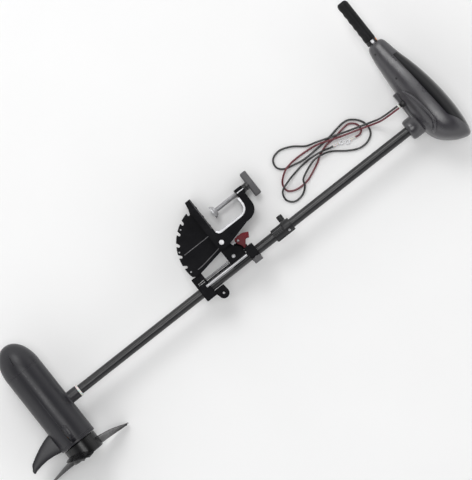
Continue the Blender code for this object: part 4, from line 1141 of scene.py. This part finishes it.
def skin_height(s, t):
    """How far the head's side stands out from its middle plane at (s, t)."""
    for first, last in zip(HEAD_STATIONS, HEAD_STATIONS[1:]):
        if first[0] >= t >= last[0]:
            share = (first[0] - t) / (first[0] - last[0])
            low, high, half = between(first[1:], last[1:], share)
            centre = low + WAIST * (high - low)
            reach = high - centre if s > centre else centre - low
            rise = min(1.0, abs(s - centre) / reach) ** (1.0 / RISE_POWER)
            return half * (1.0 - rise * rise) ** (0.5 * WIDTH_POWER)
    return 0.0


def seam_zone(margin):
    """Everything above the seam, widened by a margin."""
    front, *rest = SEAM
    rear = rest[-1]
    points = [(1.3, front[0] - margin), (front[1] + margin, front[0] - margin)]
    points += [(s + margin, t) for t, s in rest]
    points += [(rear[1] + margin + 0.004, rear[0] - 0.01), (1.3, rear[0] - 0.01)]
    return plate("zone_form", "head_plastic", points, (-0.1, 0.1))


def head():
    housing = head_skin("head_form", "head_plastic")
    profile = ((0.0, 1.176), (0.028, 1.176), (0.028, 1.134), (0.0268, 1.129), (0.0245, 1.1262),
               (0.0, 1.1262))
    boss = turned("boss_form", "head_plastic", profile, "along", bevel=0.0015)
    base = slab("base_form", "head_plastic", (1.1512, 1.168), (0.015, 0.094), (-0.02, 0.02), 0.003)
    fuse(housing, boss, bake(base))
    bore = tube("bore_form", "head_plastic", 0.0109, 0.0, (0.18, 0.26), "across", (GRIP_S, 0, 0), 64)
    socket = tube("socket_form", "head_plastic", BORE_RADIUS, 0.0, (1.1, 1.15), "along", segments=64)
    cut(housing, seam_zone(0.0), bore, socket)
    stands_for(housing, "head_housing")
    cover = combine("INTERSECT", head_skin("cover_form", "gloss_black"), [seam_zone(0.0007)])
    stands_for(cover, "head_cover")
    for obj in (housing, cover):
        obj.data.set_sharp_from_angle(angle=math.radians(40.0))
    lip()
    for i, (t, s) in enumerate(((0.2, 1.1785), (0.1213, 1.1815))):
        h = skin_height(s, t)
        lean = (skin_height(s - 0.002, t) - skin_height(s + 0.002, t)) / 0.004
        screw_head("head_housing", "head_screw_%d" % i, (s, t, h), (lean, 0.0, 1.0), 0.003, 0.0008, 2,
                   "black_plastic")


def lip():
    """Raised moulding that arches over the shaft's boss, following the skin on each side of the head."""
    path = catmull([(1.1735, 0.09), (1.1835, 0.056), (1.1885, 0.025), (1.1905, -0.002),
                        (1.1885, -0.019), (1.18, -0.033), (1.17, -0.042)], 8)
    count = len(path) - 1
    for side, name, relief in ((1, "near", 0.0085), (-1, "far", 0.0034)):

        def surface(x, angle):
            here = round(x * count)
            s, t = path[here]
            ahead = Vector(path[min(count, here + 1)]) - Vector(path[max(0, here - 1)])
            across = Vector((-ahead.y, ahead.x)).normalized()
            size = taper(x, 0.12) ** 0.5
            wide = 0.0055 * size * math.cos(angle)
            s, t = s + across.x * wide, t + across.y * wide
            return at(s, t, side * (skin_height(s, t) - 0.0004 + relief * size * math.sin(angle)))

        rides_with(sculpted("boss_arch_" + name, "head_plastic", surface, count, 24), "head_housing")


def tiller():
    near, far = span("twist_grip", T)

    def surface(x, angle):
        t = near + (far - near) * x
        nose = max(0.0, (x - 0.9) / 0.1)
        body = 0.015 * (1.0 - 0.35 * nose ** 3)
        body -= 0.0007 * max(0.0, 1.0 - x / 0.02)
        if x < 0.92:
            body -= 0.00045 * (0.5 + 0.5 * math.cos(20 * angle)) * min(1.0, x / 0.05, (0.92 - x) / 0.05)
        under = max(0.0, -math.cos(angle)) ** 2
        if 0.08 < x < 0.88:
            body -= 0.0013 * under * (0.5 - 0.5 * math.cos(math.tau * 5 * (x - 0.08) / 0.8))
        return at(GRIP_S + body * math.cos(angle), t, body * math.sin(angle))

    grip = sculpted("grip_form", "grip_rubber", surface, 160, 120)
    bore = tube("bore_form", "grip_rubber", 0.0108, 0.0, (near - 0.01, 0.345), "across", (GRIP_S, 0, 0), 48)
    stands_for(cut(grip, bore), "twist_grip")
    back, front = span("speed_dial", T)
    dial = tube("dial_form", "black_plastic", 0.0145, 0.0108, (back, front), "across", (GRIP_S, 0, 0), 72,
                0.0006)
    silver = slab("dial_mark", "bright_steel", (1.1905, 1.1985), (back + 0.0008, front - 0.0008),
                  (0.013, 0.015), 0.0004)
    amber = slab("dial_dot", "copper", (1.204, 1.2068), (back + 0.001, front - 0.001), (0.004, 0.0085),
                 0.0004)
    stands_for(gather(dial, silver, amber), "speed_dial")
    stands_for(tube("tiller_form", "bright_steel", 0.0105, 0.0085, span("tiller_tube", T), "across",
                    (GRIP_S, 0, 0), 64), "tiller_tube")


# ---------- whole object

for build in (camera, studio, paint_frame, battery_lead, motor, nose, end_cap, fin, propeller, shaft,
              depth_collar, swivel, lever, lock, bracket, quadrants, clamps, head, tiller):
    build()
